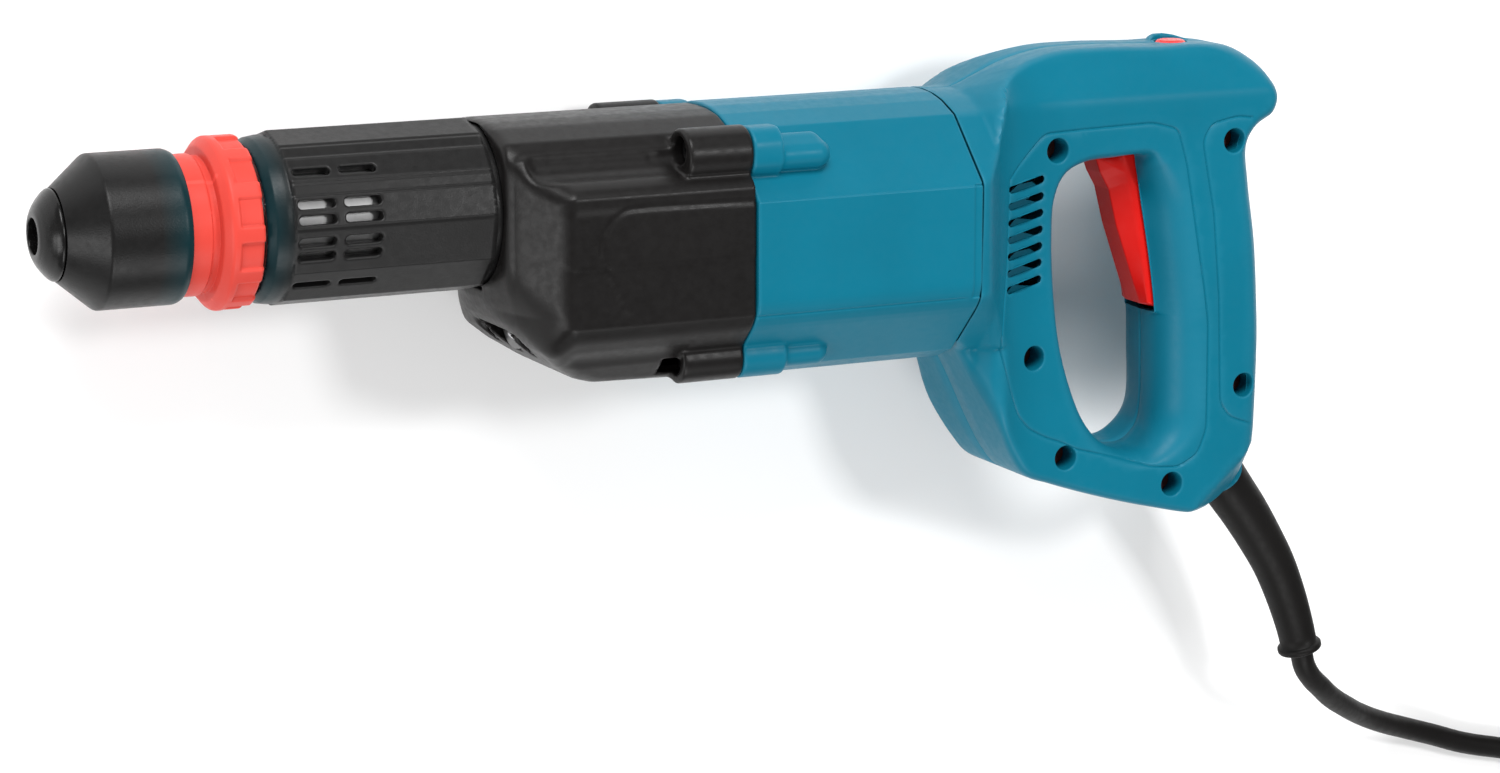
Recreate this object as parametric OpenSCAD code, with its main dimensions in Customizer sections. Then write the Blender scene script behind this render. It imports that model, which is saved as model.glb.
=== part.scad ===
// Light demolition hammer (SDS-plus class power scraper), lying on its right side.
// Tool frame used inside fr(): X runs back from the nose along the barrel axis,
// Y is the tool's up, Z is out of its left side, with the parting plane at Z = 0.

/* [Overall] */
// Length from dust cap to the back of the handle
tool_len = 404; // [396:1:412]
// Half width over the motor housing
half_w = 41.6; // [41:0.1:43]
// Height of the motor axis below the barrel axis
motor_drop = 16; // [15.9:0.1:16.1]

/* [Chuck] */
// Radius of the tool bore
bore_r = 5; // [4.9:0.05:5.2]
// Outer radius of the chuck sleeve
sleeve_r = 22.4; // [22:0.1:22.8]
// Outer radius of the change ring
ring_r = 25.2; // [24.8:0.1:25.6]
// Number of finger pockets round the change ring
pockets = 12; // [8:1:16]

/* [Hammer mechanism] */
// Inner radius of the cylinder
cyl_r = 13; // [12.9:0.1:13.2]
// Axle distance of the reduction gears
gear_dist = 18; // [18:0.1:18]
// Teeth on the armature pinion
pinion_z = 10; // [10:1:10]
// Teeth on the driven gear
gear_z = 35; // [35:1:35]
// Balls in the wobble bearing
ball_n = 12; // [8:1:14]

/* [Handle] */
// Half thickness of the handle sides
grip_h = 20; // [19.5:0.1:20.5]
// Wall thickness of the handle shells
wall = 3.5; // [3:0.1:4]
// Radius of the screw wells
well_r = 3.8; // [3.6:0.1:4]

/* [Cord] */
// Diameter of the cord
cord_d = 7.6; // [7.4:0.1:7.8]
// Mean radius of the stored coil
coil_r = 42; // [41:1:44]

/* [Hidden] */
$fn = 64;
cx0 = tool_len/2;
cy0 = -38.5;
my = -motor_drop;
sy = my - gear_dist;
gm = 2*gear_dist/(pinion_z + gear_z);
hub_x = 166;

module fr() { translate([-cx0, -cy0, half_w]) children(); }
// plain shapes along the three axes
module cx(x0, x1, r, y = 0, z = 0) { translate([x0, y, z]) rotate([0, 90, 0]) cylinder(h = x1 - x0, r = r); }
module cz(z0, z1, r, x, y) { translate([x, y, z0]) cylinder(h = z1 - z0, r = r); }
module rx(p, y = 0) { translate([0, y, 0]) rotate([0, 90, 0]) rotate_extrude($fn = 96) polygon(p); }
module xs(x0, x1) { translate([x0, 0, 0]) rotate([90, 0, 90]) linear_extrude(x1 - x0) children(); }
module ys(y0, y1) { translate([0, y1, 0]) rotate([90, 0, 0]) linear_extrude(y1 - y0) children(); }
module zs(z0, z1) { translate([0, 0, z0]) linear_extrude(z1 - z0) children(); }
module sides() { children(); mirror([0, 0, 1]) children(); }

// housing cross-section, flat sides, 45 degree facets and crowned top and bottom
quad = [[41.6, 17.2], [22.3, 36.5], [14, 39.9], [7, 41.5]];
function ring4(q, k) = concat(
 [for (i = [0:3]) [my + k*q[i][1], k*q[i][0]]], [[my + k*41.9, 0]],
 [for (i = [3:-1:0]) [my + k*q[i][1], -k*q[i][0]]],
 [for (i = [0:3]) [my - k*q[i][1], -k*q[i][0]]], [[my - k*41.9, 0]],
 [for (i = [3:-1:0]) [my - k*q[i][1], k*q[i][0]]]);
module sec(o) { polygon(ring4(quad, 1 - o/half_w)); }

// polygon moved inwards by d, points in anticlockwise order
function unit(v) = v/norm(v);
function nrm(a, b) = let (u = unit(b - a)) [-u[1], u[0]];
function inset(p, d) = let (n = len(p)) [for (i = [0:n-1])
  let (a = nrm(p[(i + n - 1) % n], p[i]), b = nrm(p[i], p[(i + 1) % n]), s = unit(a + b))
  p[i] + d/max(0.5, a*s)*s];
function rev(p) = [for (i = [len(p)-1:-1:0]) p[i]];

handle_out = rev([[283.2,25.9],[293,25.9],[300,28.6],[311,33],[325,36],[342,36.4],[362,35.7],[380,35.6],[391,33.8],
 [399,28.4],[403,22],[404,17.5],[402,12.5],[396,8.5],[394,3],[395.5,-8],[398.5,-28],[400,-48],[400.5,-60],[400,-87],
 [399.5,-96],[398.5,-104.5],[394,-110],[386,-114],[376,-115],[357,-111],[339,-106],[321,-100],[311,-96],[305.4,-89.5],
 [300.3,-80.5],[295.9,-71.5],[291.8,-63],[287.8,-56],[283.2,-50]]);
d_hole = rev([[354,2.4],[355.5,-2],[357.5,-13],[360,-26],[362,-38],[363.4,-49],[364,-64],[363.8,-82],[361.5,-88.5],[356,-92.5],
 [348,-92],[341,-88.5],[335,-82],[329.5,-71.5],[324.5,-56],[322,-39],[321,-21],[321.8,-9],[325,-2],[332,1.6],[342,2.4]]);
neck_plan = [[283.2,40.8],[286,39.8],[296,29],[303,24],[318,20.5],[334,20],[334,-20],[318,-20.5],[303,-24],[296,-29],[286,-39.8],[283.2,-40.8]];
screw_xy = [[320.8,6.4],[312.9,-58.4],[325.4,-91.6],[364.8,-104],[391.1,-74],[385.5,5.5]];
pivot = [366, -43];
lock_xy = [373, 35];

// involute gear outline, s is the profile shift, b the backlash at the pitch line
function inv(r, rb) = let (a = acos(min(1, rb/r))) tan(a)*180/PI - a;
function gear_pts(z, s, b) = let (r = gm*z/2, rb = r*cos(20), ra = r + gm*(1 + s) - 0.12, rf = r - gm*(1.25 - s),
  ha = 90/z + 2*s*tan(20)*180/PI/z - b/(2*r)*180/PI + inv(r, rb), r0 = max(rb, rf + 0.05),
  f = [for (i = [0:3]) let (q = r0 + (ra - r0)*i/3) [q, ha - inv(q, rb)]])
 [for (t = [0:z-1]) for (k = [0:9]) let (c = 360*t/z,
   q = k == 0 ? [rf, -f[0][1] - 0.3] : k < 5 ? [f[k-1][0], -f[k-1][1]] : k < 9 ? f[8-k] : [rf, f[0][1] + 0.3])
   [q[0]*cos(c + q[1]), q[0]*sin(c + q[1])]];

// tube of changing radius swept through points, m sides
function tdir(p, i) = unit(p[min(i + 1, len(p) - 1)] - p[max(i - 1, 0)]);
function side_of(t) = unit(cross(t, abs(t[2]) > 0.9 ? [1, 0, 0] : [0, 0, 1]));
module tube(p, r, m = 10) {
 n = len(p);
 pts = [for (i = [0:n-1]) let (t = tdir(p, i), a = side_of(t), b = cross(t, a)) for (k = [0:m-1])
   p[i] + r[i]*(cos(360*k/m)*a + sin(360*k/m)*b)];
 fs = concat([for (i = [0:n-2]) for (k = [0:m-1]) each [
   [i*m + k, (i + 1)*m + k, (i + 1)*m + (k + 1) % m], [i*m + k, (i + 1)*m + (k + 1) % m, i*m + (k + 1) % m]]],
   [[for (k = [0:m-1]) k]], [[for (k = [m-1:-1:0]) (n - 1)*m + k]]);
 polyhedron(pts, fs);
}
module helix(x0, x1, r, w, turns, m = 6) {
 n = turns*12;
 tube([for (i = [0:n]) [x0 + (x1 - x0)*i/n, r*cos(30*i), r*sin(30*i)]], [for (i = [0:n]) w], m);
}
// smooth curve through hand-set points
function spline(p, i, t) = let (n = len(p) - 1, a = p[max(i-1, 0)], b = p[i], c = p[min(i+1, n)], d = p[min(i+2, n)])
 0.5*((2*b) + (c - a)*t + (2*a - 5*b + 4*c - d)*t*t + (3*b - a - 3*c + d)*t*t*t);
function route(p, k) = concat([for (i = [0:len(p)-2]) for (j = [0:k-1]) spline(p, i, j/k)], [p[len(p)-1]]);

cord_z = cord_d/2 - half_w;
guard_pts = [[389,-99,0],[394,-106,0],[399,-113,0],[405,-121,0],[411,-130,0],[417,-140,0],[422,-151,0],[426,-162,0],[428,-169,0]];
guard_rad = [8.3, 8.3, 8.2, 7.9, 7.5, 7.1, 6.7, 6.3, 6.1];
cord_pts = [[429,-172,0],[431,-177,-1],[435,-182,-3],[441,-187,-6],[449,-193,-11],[459,-199,-17],[470,-205,-24],[483,-211,-30],
 [496,-216,-34.5],[510,-221,-37],[524,-226,cord_z],[540,-230,cord_z],[557,-234,cord_z],[575,-236.6,cord_z],[600,-237,cord_z]];
coil_xy = [600, -187.4];
plug_xy = [649.6, -142];
tail_pts = [[649.6,-187,cord_z],[650,-176,cord_z + 1],[650,-166,cord_z + 5],[650,-158,cord_z + 8.2],[650,-150,cord_z + 9.2]];

module dust_cap() { color([0.08,0.08,0.08]) fr() difference() {
 rx([[bore_r + 0.2,0],[7,0.1],[9,1.1],[11,2.6],[12.6,4.2],[13.3,5.2],[13.2,5.9],[12.2,5.9],[12.2,14],[10.2,14],[10.2,4.5],[8.7,2.9],[bore_r + 0.2,2.9]]);
}}
module tool_holder() { color([0.62,0.63,0.65]) fr() difference() {
 rx([[bore_r,3],[8.6,3],[10.1,4.6],[10.1,14.2],[12,14.2],[12,38],[14,38],[14,60.4],[12,60.4],[12,78],[9.25,78],[9.25,57],[bore_r + 0.2,55],[bore_r + 0.2,26],[bore_r,26]]);
 translate([30, 0, 0]) rotate([-90, 0, 0]) cylinder(h = 20, r = 3.25);
}}
module locking_ball() { color([0.75,0.76,0.78]) fr() translate([30, 7.1, 0]) sphere(r = 3.1); }
module chuck_spring() { color([0.55,0.56,0.58]) fr() helix(20.6, 36.8, 17.2, 0.9, 5); }
module chuck_sleeve() { color([0.09,0.09,0.09]) fr()
 rx([[12.8,9],[13.5,6.1],[sleeve_r - 0.3,16.2],[sleeve_r,16.8],[sleeve_r,39],[sleeve_r - 0.9,40.6],[20.9,40.6],[20.9,18],[19.5,16.5],[12.8,15.5]]);
}
module change_ring() { color([0.9,0.13,0.1]) fr() difference() {
 rx([[14.07,50],[18.6,50],[18.6,37.2],[20.5,37.2],[20.5,46.4],[19.8,46.6],[19.8,48.8],[22.4,48.9],[ring_r - 0.5,50.8],[ring_r,51.6],[ring_r,59.8],[ring_r - 0.7,60.6],[14.07,60.6]]);
 for (i = [0:pockets-1]) rotate([15 + 360/pockets*i, 0, 0]) translate([53.4, -4.2, ring_r - 0.9]) cube([9, 8.4, 4]);
}}
module index_spring() { color([0.6,0.6,0.62]) fr() helix(39.2, 49.2, 16.2, 0.7, 3); }
module oil_seal() { color([0.12,0.12,0.12]) fr() rx([[12.05,63],[14.8,63],[14.8,67],[12.6,67],[12.05,66]]); }
module front_bush() { color([0.72,0.5,0.25]) fr() rx([[12.05,67.3],[14.8,67.3],[14.8,78],[12.05,78]]); }
module barrel() { color([0.75,0.76,0.77]) fr() difference() {
 union() {
  rx([[14.8,62.8],[18.8,62.8],[21.4,66],[21.4,146],[14.8,146]]);
  xs(146, 153) union() { circle(r = 24.5); translate([-30, -10.5]) square([30, 21]); translate([sy, 0]) circle(r = 10.5); }
 }
 cx(79, 160, 17.6);
 cx(145, 152.2, 8.05, sy);
 cx(140, 160, 5.4, sy);
}}
module barrel_cover() { color([0.1,0.1,0.1]) fr() difference() {
 union() {
  rx([[21.7,61.9],[22.6,62.2],[24,64.6],[24.4,68],[24.4,70],[21.7,70]]);
  xs(69, 131.8) circle(r = 25.3, $fn = 12);
  cx(131, 138, 23.6);
 }
 cx(60, 140, 21.7);
 for (m = [0, 180]) for (a = [-42, -19.5, -8.2, 8.2, 19.5, 42]) for (x = [71, 85])
  rotate([m + a, 0, 0]) translate([x, -1.25, 19]) cube([11, 2.5, 10]);
}}
module bolt_guide() { color([0.5,0.51,0.53]) fr() rx([[9.25,79.4],[17.55,79.4],[17.55,88.5],[9.25,88.5]]); }
module impact_bolt() { color([0.66,0.67,0.69]) fr()
 rx([[0,58.5],[4.6,58.5],[4.8,59],[4.8,61],[9.2,63],[9.2,74],[7.98,74],[7.98,76.6],[9.2,76.6],[9.2,88],[8.6,89.4],[0,89.4]]); }
module bolt_o_ring() { color([0.08,0.08,0.08]) fr() rotate([0,90,0]) translate([0,0,75.3]) rotate_extrude() translate([8.6,0]) circle(r = 0.58, $fn = 24); }
module cylinder_liner() { color([0.6,0.61,0.63]) fr() difference() {
 rx([[cyl_r,89],[17.55,89],[17.55,150],[cyl_r,150]]);
 for (a = [0:60:300]) rotate([a, 0, 0]) translate([122, 0, 0]) cylinder(h = 20, r = 1.5);
}}
module striker() { color([0.7,0.71,0.73]) fr()
 rx([[0,96],[9,96],[12.2,97],[12.95,98],[12.95,101],[11.35,101],[11.35,103.6],[12.95,103.6],[12.95,110.4],[11.35,110.4],[11.35,113],[12.95,113],[12.95,119],[12,120],[0,120]]); }
module striker_o_rings() { color([0.08,0.08,0.08]) fr() for (x = [102.3, 111.7])
 rotate([0,90,0]) translate([0,0,x]) rotate_extrude() translate([12,0]) circle(r = 0.6, $fn = 24); }
module piston() { color([0.72,0.73,0.75]) fr() difference() {
 union() {
  rx([[0,134],[12,134],[12.95,134.6],[12.95,150],[0,150]]);
  intersection() { cx(148, 174, 12.6); sides() translate([148, -7.5, 8.2]) cube([25.5, 15, 4.4]); }
 }
 cz(-20, 20, 4.05, hub_x, 0);
 translate([152.5, -14, -8.2]) cube([30, 28, 16.4]);
}}
module piston_pin() { color([0.6,0.61,0.63]) fr() difference() {
 union() { cz(-12, 12, 4, hub_x, 0); cz(-7.8, 7.8, 6.2, hub_x, 0); }
 translate([hub_x, -10, 0]) rotate([-90, 0, 0]) cylinder(h = 20, r = 3.35);
}}
module wobble_ring() { color([0.58,0.59,0.61]) fr() {
 difference() {
  union() { cx(hub_x - 4.4, hub_x + 4.4, 15.4, sy); translate([hub_x, sy + 13.6, 0]) rotate([-90, 0, 0]) cylinder(h = 4.6, r = 4.2);
   translate([hub_x, sy + 15, 0]) rotate([-90, 0, 0]) cylinder(h = 26, r = 3); }
  translate([hub_x, sy, 0]) sphere(r = 13.15);
 }
}}
module wobble_balls() { color([0.78,0.79,0.8]) fr() for (i = [0:ball_n-1])
 translate([hub_x, sy, 0]) rotate([360/ball_n*i + 15, 0, 0]) translate([0, 11.7, 0]) sphere(r = 1.35, $fn = 24); }
module intermediate_shaft() { color([0.55,0.56,0.58]) fr() difference() {
 union() {
  cx(144.5, 201.5, 4.95, sy);
  intersection() { translate([hub_x, sy, 0]) sphere(r = 10.2); cx(hub_x - 7, hub_x + 7, 14, sy); }
  cx(174.2, 179.6, 7.5, sy);
 }
 translate([hub_x, sy, 0]) rotate([0, 0, 14]) rotate([0, 90, 0]) rotate_extrude() translate([11, 0]) circle(r = 1.4, $fn = 24);
}}
module driven_gear() { color([0.5,0.51,0.53]) fr() difference() {
 translate([180, sy, 0]) rotate([90, 0, 90]) rotate(180/gear_z) linear_extrude(9) polygon(gear_pts(gear_z, -0.4, 0.2));
 cx(179, 190, 4.97, sy);
 for (a = [0:60:300]) translate([179, sy, 0]) rotate([a, 0, 0]) translate([0, 8.6, 0]) rotate([0, 90, 0]) cylinder(h = 12, r = 2);
}}
module bearing(x0, x1, ri, ro, y) { rx([[ri,x0],[ro - 0.4,x0],[ro,x0 + 0.4],[ro,x1 - 0.4],[ro - 0.4,x1],[ro - 1.4,x1],[ro - 1.7,x1 - 0.5],
 [ri + 1.7,x1 - 0.5],[ri + 1.4,x1],[ri,x1]], y); }
module shaft_bearings() { color([0.7,0.71,0.73]) fr() { bearing(145.6, 152, 5, 8, sy); bearing(195.2, 201.2, 5, 8, sy); } }
module gear_body() { intersection() {
  xs(131.9, 207) sec(0);
  zs(-half_w, half_w) polygon([[131.9,25],[134,25.9],[207,25.9],[207,-57.9],[190,-54.8],[163,-53.4],[156,-50.8],[148,-45.6],[142,-40.2],[137,-34],[133.5,-28],[131.9,-23]]);
  ys(-60, 30) polygon([[131.9,25.5],[135,27.5],[148,half_w],[208,half_w],[208,-half_w],[148,-half_w],[135,-27.5],[131.9,-25.5]]);
}}
module gear_housing() { color([0.1,0.1,0.1]) fr() difference() {
 union() {
  difference() { gear_body(); sides() { cx(137, 187, 6.2, 17, 38); cx(152, 188, 7, -48, 36); } }
  sides() { cx(186, 207, 8, 15, 31); cx(187, 207, 6.8, -47.5, 25); }
 }
 intersection() {
  xs(153.2, 208) sec(3.2);
  zs(-40, 40) polygon([[153.2,22.5],[208,22.5],[208,-54.6],[163,-51],[157,-48.6],[153.2,-45.6]]);
  ys(-60, 30) polygon([[153.2,35],[160,38.4],[209,38.4],[209,-38.4],[160,-38.4],[153.2,-35]]);
 }
 cx(130, 160, 24.7);
 xs(140, 154) union() { translate([-30, -10.7]) square([30, 21.4]); translate([sy, 0]) circle(r = 10.7); }
 sides() { cx(180, 193, 4.3, 16.5, 31); cx(190, 210, 2.2, 16.5, 31); cx(184, 194, 3.9, -47.5, 25); cx(190, 210, 2.2, -47.5, 25);
  cx(130, 149, 3.6, -40.5, 13.6); cx(148, 160, 1.9, -40.5, 13.6); }
}}
module belly_screws() { color([0.15,0.15,0.16]) fr() sides() difference() { union() { cx(146.2, 149, 3.3, -40.5, 13.6); cx(148, 158, 1.8, -40.5, 13.6); }
 cx(145, 147.4, 1.5, -40.5, 13.6); } }
module bearing_plate() { color([0.7,0.71,0.72]) fr() difference() {
 union() { xs(202, 206.8) intersection() { sec(4.6); translate([-53.4, -50]) square([75, 100]); } cx(194, 203, 10.4, sy); cx(200, 208.4, 12, my); }
 cx(195.1, 201.4, 8.05, sy); cx(190, 196, 5.5, sy); cx(201.4, 202.4, 5.5, sy);
 cx(201.9, 210, 10.05, my); cx(190, 203, 5, my);
 cx(190, 202, 6, my);
 for (p = [[12,22],[12,-22],[-38,27],[-38,-27]]) cx(200, 208, 2.4, p[0], p[1]);
}}
module housing_screws() { color([0.2,0.2,0.21]) fr() sides() for (p = [[16.5,31,193],[-47.5,25,194]]) difference() {
 union() { cx(p[2] - 4, p[2], 3.6, p[0], p[1]); cx(p[2] - 1, 228, 2.05, p[0], p[1]); }
 cx(p[2] - 5, p[2] - 2, 1.8, p[0], p[1]); } }
module motor_housing() { color([0.0,0.42,0.52]) fr() difference() {
 union() {
  difference() { xs(207, 283) sec(0); xs(206, 284) sec(3.2); }
  sides() { cx(207, 217, 8, 15, 31); cx(216, 233, 4.4, 13.5, 33.5); cx(207, 222, 6.8, -47.5, 25); cx(221, 236, 4.2, -47.8, 26.5); }
 }
 sides() { cx(206, 229, 2.2, 16.5, 31); cx(206, 229, 2.2, -47.5, 25); }
 intersection() { cx(206, 284, 34.4, my); union() { xs(206, 284) sec(3.2); } }
}}
module armature_shaft() { color([0.6,0.61,0.63]) fr() {
 translate([179.4, my, 0]) rotate([90, 0, 90]) rotate(180) linear_extrude(10.2) polygon(gear_pts(pinion_z, 0.4, 0.2));
 rx([[0,176],[2.6,176],[2.9,176.6],[2.9,179.6],[0,179.6]], my);
 rx([[0,189.4],[3.2,189.4],[3.2,192],[3.95,192],[3.95,291],[0,291]], my);
}}
module motor_bearing_front() { color([0.72,0.73,0.75]) fr() bearing(202.1, 208.2, 4, 10, my); }
module motor_bearing_rear() { color([0.72,0.73,0.75]) fr() bearing(283.4, 289.6, 4, 9, my); }
module fan() { color([0.12,0.12,0.12]) fr() difference() {
 union() { cx(210.2, 221, 9, my); rx([[8,217.6],[33.6,217.6],[33.6,219.4],[8,219.4]], my);
  for (a = [0:30:330]) translate([211.4, my, 0]) rotate([a, 0, 0]) translate([0, 12, -0.8]) cube([6.6, 21, 1.6]); }
 cx(209, 222, 3.97, my);
}}
module baffle() { color([0.14,0.14,0.15]) fr() difference() { xs(221.6, 224) intersection() { sec(3.6); translate([my, 0]) circle(r = 33.1); } cx(220, 226, 25, my); } }
module armature_core() { color([0.45,0.45,0.46]) fr() difference() {
 cx(232, 262, 21.4, my);
 cx(231, 263, 3.97, my);
 for (a = [0:30:330]) translate([231, my, 0]) rotate([a, 0, 0]) { translate([0, 14, -0.9]) cube([32, 8, 1.8]); translate([0, 14.5, 0]) rotate([0, 90, 0]) cylinder(h = 32, r = 2.6, $fn = 24); }
}}
module armature_winding() { color([0.62,0.3,0.12]) fr() {
 rx([[3.97,226.2],[10,226.2],[14,228],[15,230],[15,231.8],[3.97,231.8]], my);
 rx([[3.97,262.2],[15,262.2],[15,264],[13.6,266.4],[10,267.8],[3.97,267.8]], my);
 for (a = [0:30:330]) translate([231.8, my, 0]) rotate([a, 0, 0]) translate([0, 14.5, 0]) rotate([0, 90, 0]) cylinder(h = 30.4, r = 2.4, $fn = 24);
}}
module commutator() { color([0.75,0.42,0.2]) fr() difference() {
 union() { rx([[3.97,268],[12.6,268],[12.6,270],[11,270],[11,279.6],[3.97,279.6]], my); }
 for (a = [0:15:165]) translate([270, my, 0]) rotate([a, 0, 0]) for (s = [-1, 1]) translate([0, s > 0 ? 10.2 : -11.2, -0.25]) cube([11, 1, 0.5]);
}}
module stator_core() { color([0.5,0.5,0.51]) fr() difference() {
 intersection() { cx(232, 262, 34.2, my); translate([230, my - 34, -31]) cube([34, 68, 62]); }
 cx(231, 263, 22.1, my);
 sides() for (s = [1, -1]) translate([231, s > 0 ? my + 9.7 : my - 22.3, 16.7]) cube([32, 12.6, 7.6]);
}}
module coil_frame(y0) { difference() { translate([225.6, y0, -24]) cube([42.8, 6.6, 48]); translate([231.6, y0 - 1, -17]) cube([30.8, 9, 34]); } }
module field_coils() { color([0.66,0.33,0.14]) fr() { coil_frame(my + 15.3); coil_frame(my - 21.9); } }
module end_bracket() { color([0.12,0.12,0.13]) fr() difference() {
 union() { xs(280.4, 283) sec(3.5); cx(280.4, 292, 12, my); }
 cx(283.2, 290, 9.05, my); cx(279, 293, 4.6, my);
 for (a = [0, 90, 180, 270]) translate([279, my, 0]) rotate([a + 45, 0, 0]) translate([0, 17, -9]) cube([6, 15, 18]);
}}
module brush_holders() { color([0.7,0.55,0.25]) fr() sides() difference() {
 translate([270.2, my - 5.4, 12.3]) cube([10, 10.8, 20]);
 translate([271.4, my - 3.6, 11]) cube([7.4, 7.2, 24]);
}}
module carbon_brushes() { color([0.13,0.13,0.14]) fr() sides() difference() { translate([271.5, my - 3.4, 10.2]) cube([7.2, 6.8, 12]); cx(260, 290, 11.05, my); } }
module brush_springs() { color([0.6,0.6,0.62]) fr() sides() translate([275.1, my, 22.6]) rotate([0, -90, 0]) helix(0, 9, 2.4, 0.4, 4); }

module handle_shape() { difference() {
 union() {
  zs(-17, 17) polygon(handle_out);
  intersection() { zs(-grip_h, grip_h) polygon(inset(handle_out, 2.6)); translate([284, -120, -25]) cube([125, 160, 50]); }
  intersection() { xs(283.2, 334) sec(0); ys(-60, 30) polygon(neck_plan); zs(-half_w, half_w) polygon(handle_out); }
  intersection() { translate([lock_xy[0] + 1, 30, 0]) rotate([-90, 0, 0]) difference() { cylinder(h = 7.4, r = 9.5); translate([0,0,-1]) cylinder(h = 12, r = 7); }
   translate([360, 20, -12]) cube([30, 20, 8]); }
 }
 zs(-30, 30) polygon(d_hole);
}}
module handle_core() { difference() {
 union() {
  zs(-grip_h + 3.2, grip_h - 3.2) polygon(inset(handle_out, wall + 0.3));
  intersection() { xs(283, 320) sec(3.2); ys(-60, 30) polygon([for (p = neck_plan) [p[0] - 0.6, p[1] - (p[1] > 0 ? 3 : -3)]]); zs(-half_w, half_w) polygon(inset(handle_out, wall)); }
  translate([280, -45, -35]) cube([7.4, 60, 70]);
 }
 zs(-40, 40) polygon(inset(d_hole, -wall));
}}
module handle_shell() { difference() {
 union() {
  difference() { handle_shape(); handle_core(); }
  intersection() { handle_shape(); union() { for (p = screw_xy) cz(-19, 19, 5.6, p[0], p[1]); sides() cz(9.3, 19, 4.4, pivot[0], pivot[1]); } }
 }
 for (p = screw_xy) { cz(-30, 30, 2.15, p[0], p[1]); cz(8.95, 30, well_r, p[0], p[1]); }
 cz(-14, 14, 1.85, pivot[0], pivot[1]);
 zs(-8.9, 8.9) polygon([[338,1],[339,7.4],[372,7.4],[372,-49.6],[358,-49.6],[352,-30],[345,-8]]);
 translate([lock_xy[0], 20, 0]) rotate([-90, 0, 0]) cylinder(h = 30, r = 5.35);
 for (i = [0:6]) for (s = [1, -1]) translate([302.6, -4.6 - i*5.2, s*24]) rotate([0, 0, 9]) translate([0, -1.1, -9]) cube([13.6, 2.2, 18]);
 translate([399, -113, 0]) rotate([0, 0, 36.5]) rotate([90, 0, 0]) translate([0, 0, -26]) cylinder(h = 40, r = 8.6);
}}
module handle_left() { color([0.0,0.45,0.55]) fr() intersection() { handle_shell(); translate([270, -130, 0.05]) cube([150, 180, 60]); } }
module handle_right() { color([0.0,0.43,0.53]) fr() intersection() { handle_shell(); translate([270, -130, -60.05]) cube([150, 180, 60]); } }
module handle_screws() { color([0.25,0.12,0.1]) fr() for (p = screw_xy) difference() { union() { cz(9, 11.8, 3.5, p[0], p[1]); cz(-13, 9.5, 2.0, p[0], p[1]); }
 cz(10.4, 12, 1.4, p[0], p[1]); } }
trig = [[343.3,1.4],[345.2,-4],[348.4,-9.6],[351.5,-21.5],[357,-37],[360.8,-47.4],[365,-48.6],[369.4,-46],[369.6,-38],[367,-20],[365.4,-3],[364,1.8],[350,2.2]];
module trigger() { color([0.85,0.06,0.05]) fr() difference() {
 union() { zs(-4.6, 4.6) polygon(trig);
  zs(-8.4, 8.4) polygon([[351,1.9],[353.4,-4],[355.6,-13],[358.4,-26],[360.4,-38],[361.6,-47],[365,-48.4],[369.4,-46],[369.6,-38],[367,-20],[365.4,-3],[364,1.8]]); }
 cz(-20, 20, 1.86, pivot[0], pivot[1]);
 zs(-6, 6) polygon([[358,-4],[360,-14],[363,-28],[364.5,-36],[372,-36],[372,-4]]);
}}
module trigger_pin() { color([0.65,0.66,0.68]) fr() cz(-13.8, 13.8, 1.8, pivot[0], pivot[1]); }
module trigger_spring() { color([0.6,0.6,0.62]) fr() translate([0, -20, 0]) helix(363.4, 374.2, 3, 0.45, 4); }
module switch_body() { color([0.16,0.16,0.17]) fr() difference() {
 union() { translate([375, -36, -11]) cube([14.4, 34, 22]); translate([378, -38.4, -8]) cube([8, 3, 16]); }
 translate([374, -24, -4.6]) cube([2, 8, 9.2]); translate([386, -30, -12]) cube([5, 3, 24]);
}}
module capacitor() { color([0.75,0.6,0.1]) fr() difference() { translate([331, 10, -7]) cube([25, 14, 14]); translate([330, 16.5, 6]) cube([27, 1, 2]); } }
lead = [[377,-1.9,7],[375,8,7],[370,18,7],[362,26,7],[345,28,6],[325,27,6],[308,21,7],[298,14,10],[291,6,14]];
module motor_leads() { color([0.1,0.1,0.4]) fr() sides() tube(route(lead, 2), [for (i = [0:2*len(lead)]) 1.4], 8); }
module lock_button() { color([0.85,0.08,0.06]) fr() translate([lock_xy[0], 0, 0]) rotate([-90, 0, 0]) rotate_extrude()
 polygon([[0,22],[2.4,22],[2.4,24.5],[6.4,24.5],[6.4,26.5],[5,26.5],[5,35.4],[4.2,36.2],[0,36.4]]); }
cab = [[386,-95,0],[382,-86,0],[379,-76,0],[379,-64,0],[380,-52,0],[382,-44,0],[382,-38.6,0]];
module inner_cable() { color([0.06,0.06,0.06]) fr() tube(route(cab, 2), [for (i = [0:2*len(cab)]) 3.8], 10); }
module cord_clamp() { color([0.15,0.15,0.16]) fr() difference() {
 union() { translate([372.3, -87, 3.95]) cube([18.4, 7, 3]); for (x = [374.6, 388.4]) cz(-7, 8.4, 2.3, x, -83.5); }
}}
module cord_guard() { color([0.07,0.07,0.07]) fr() { tube(guard_pts, guard_rad, 16);
 tube([[427.6,-168.6,0],[428.3,-171.4,0]], [7.4, 7.4], 16); } }
module cord() { color([0.05,0.05,0.05]) fr() { tube(route(cord_pts, 3), [for (i = [0:3*len(cord_pts)]) cord_d/2], 10);
 tube(route(tail_pts, 2), [for (i = [0:2*len(tail_pts)]) cord_d/2], 10); } }
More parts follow.
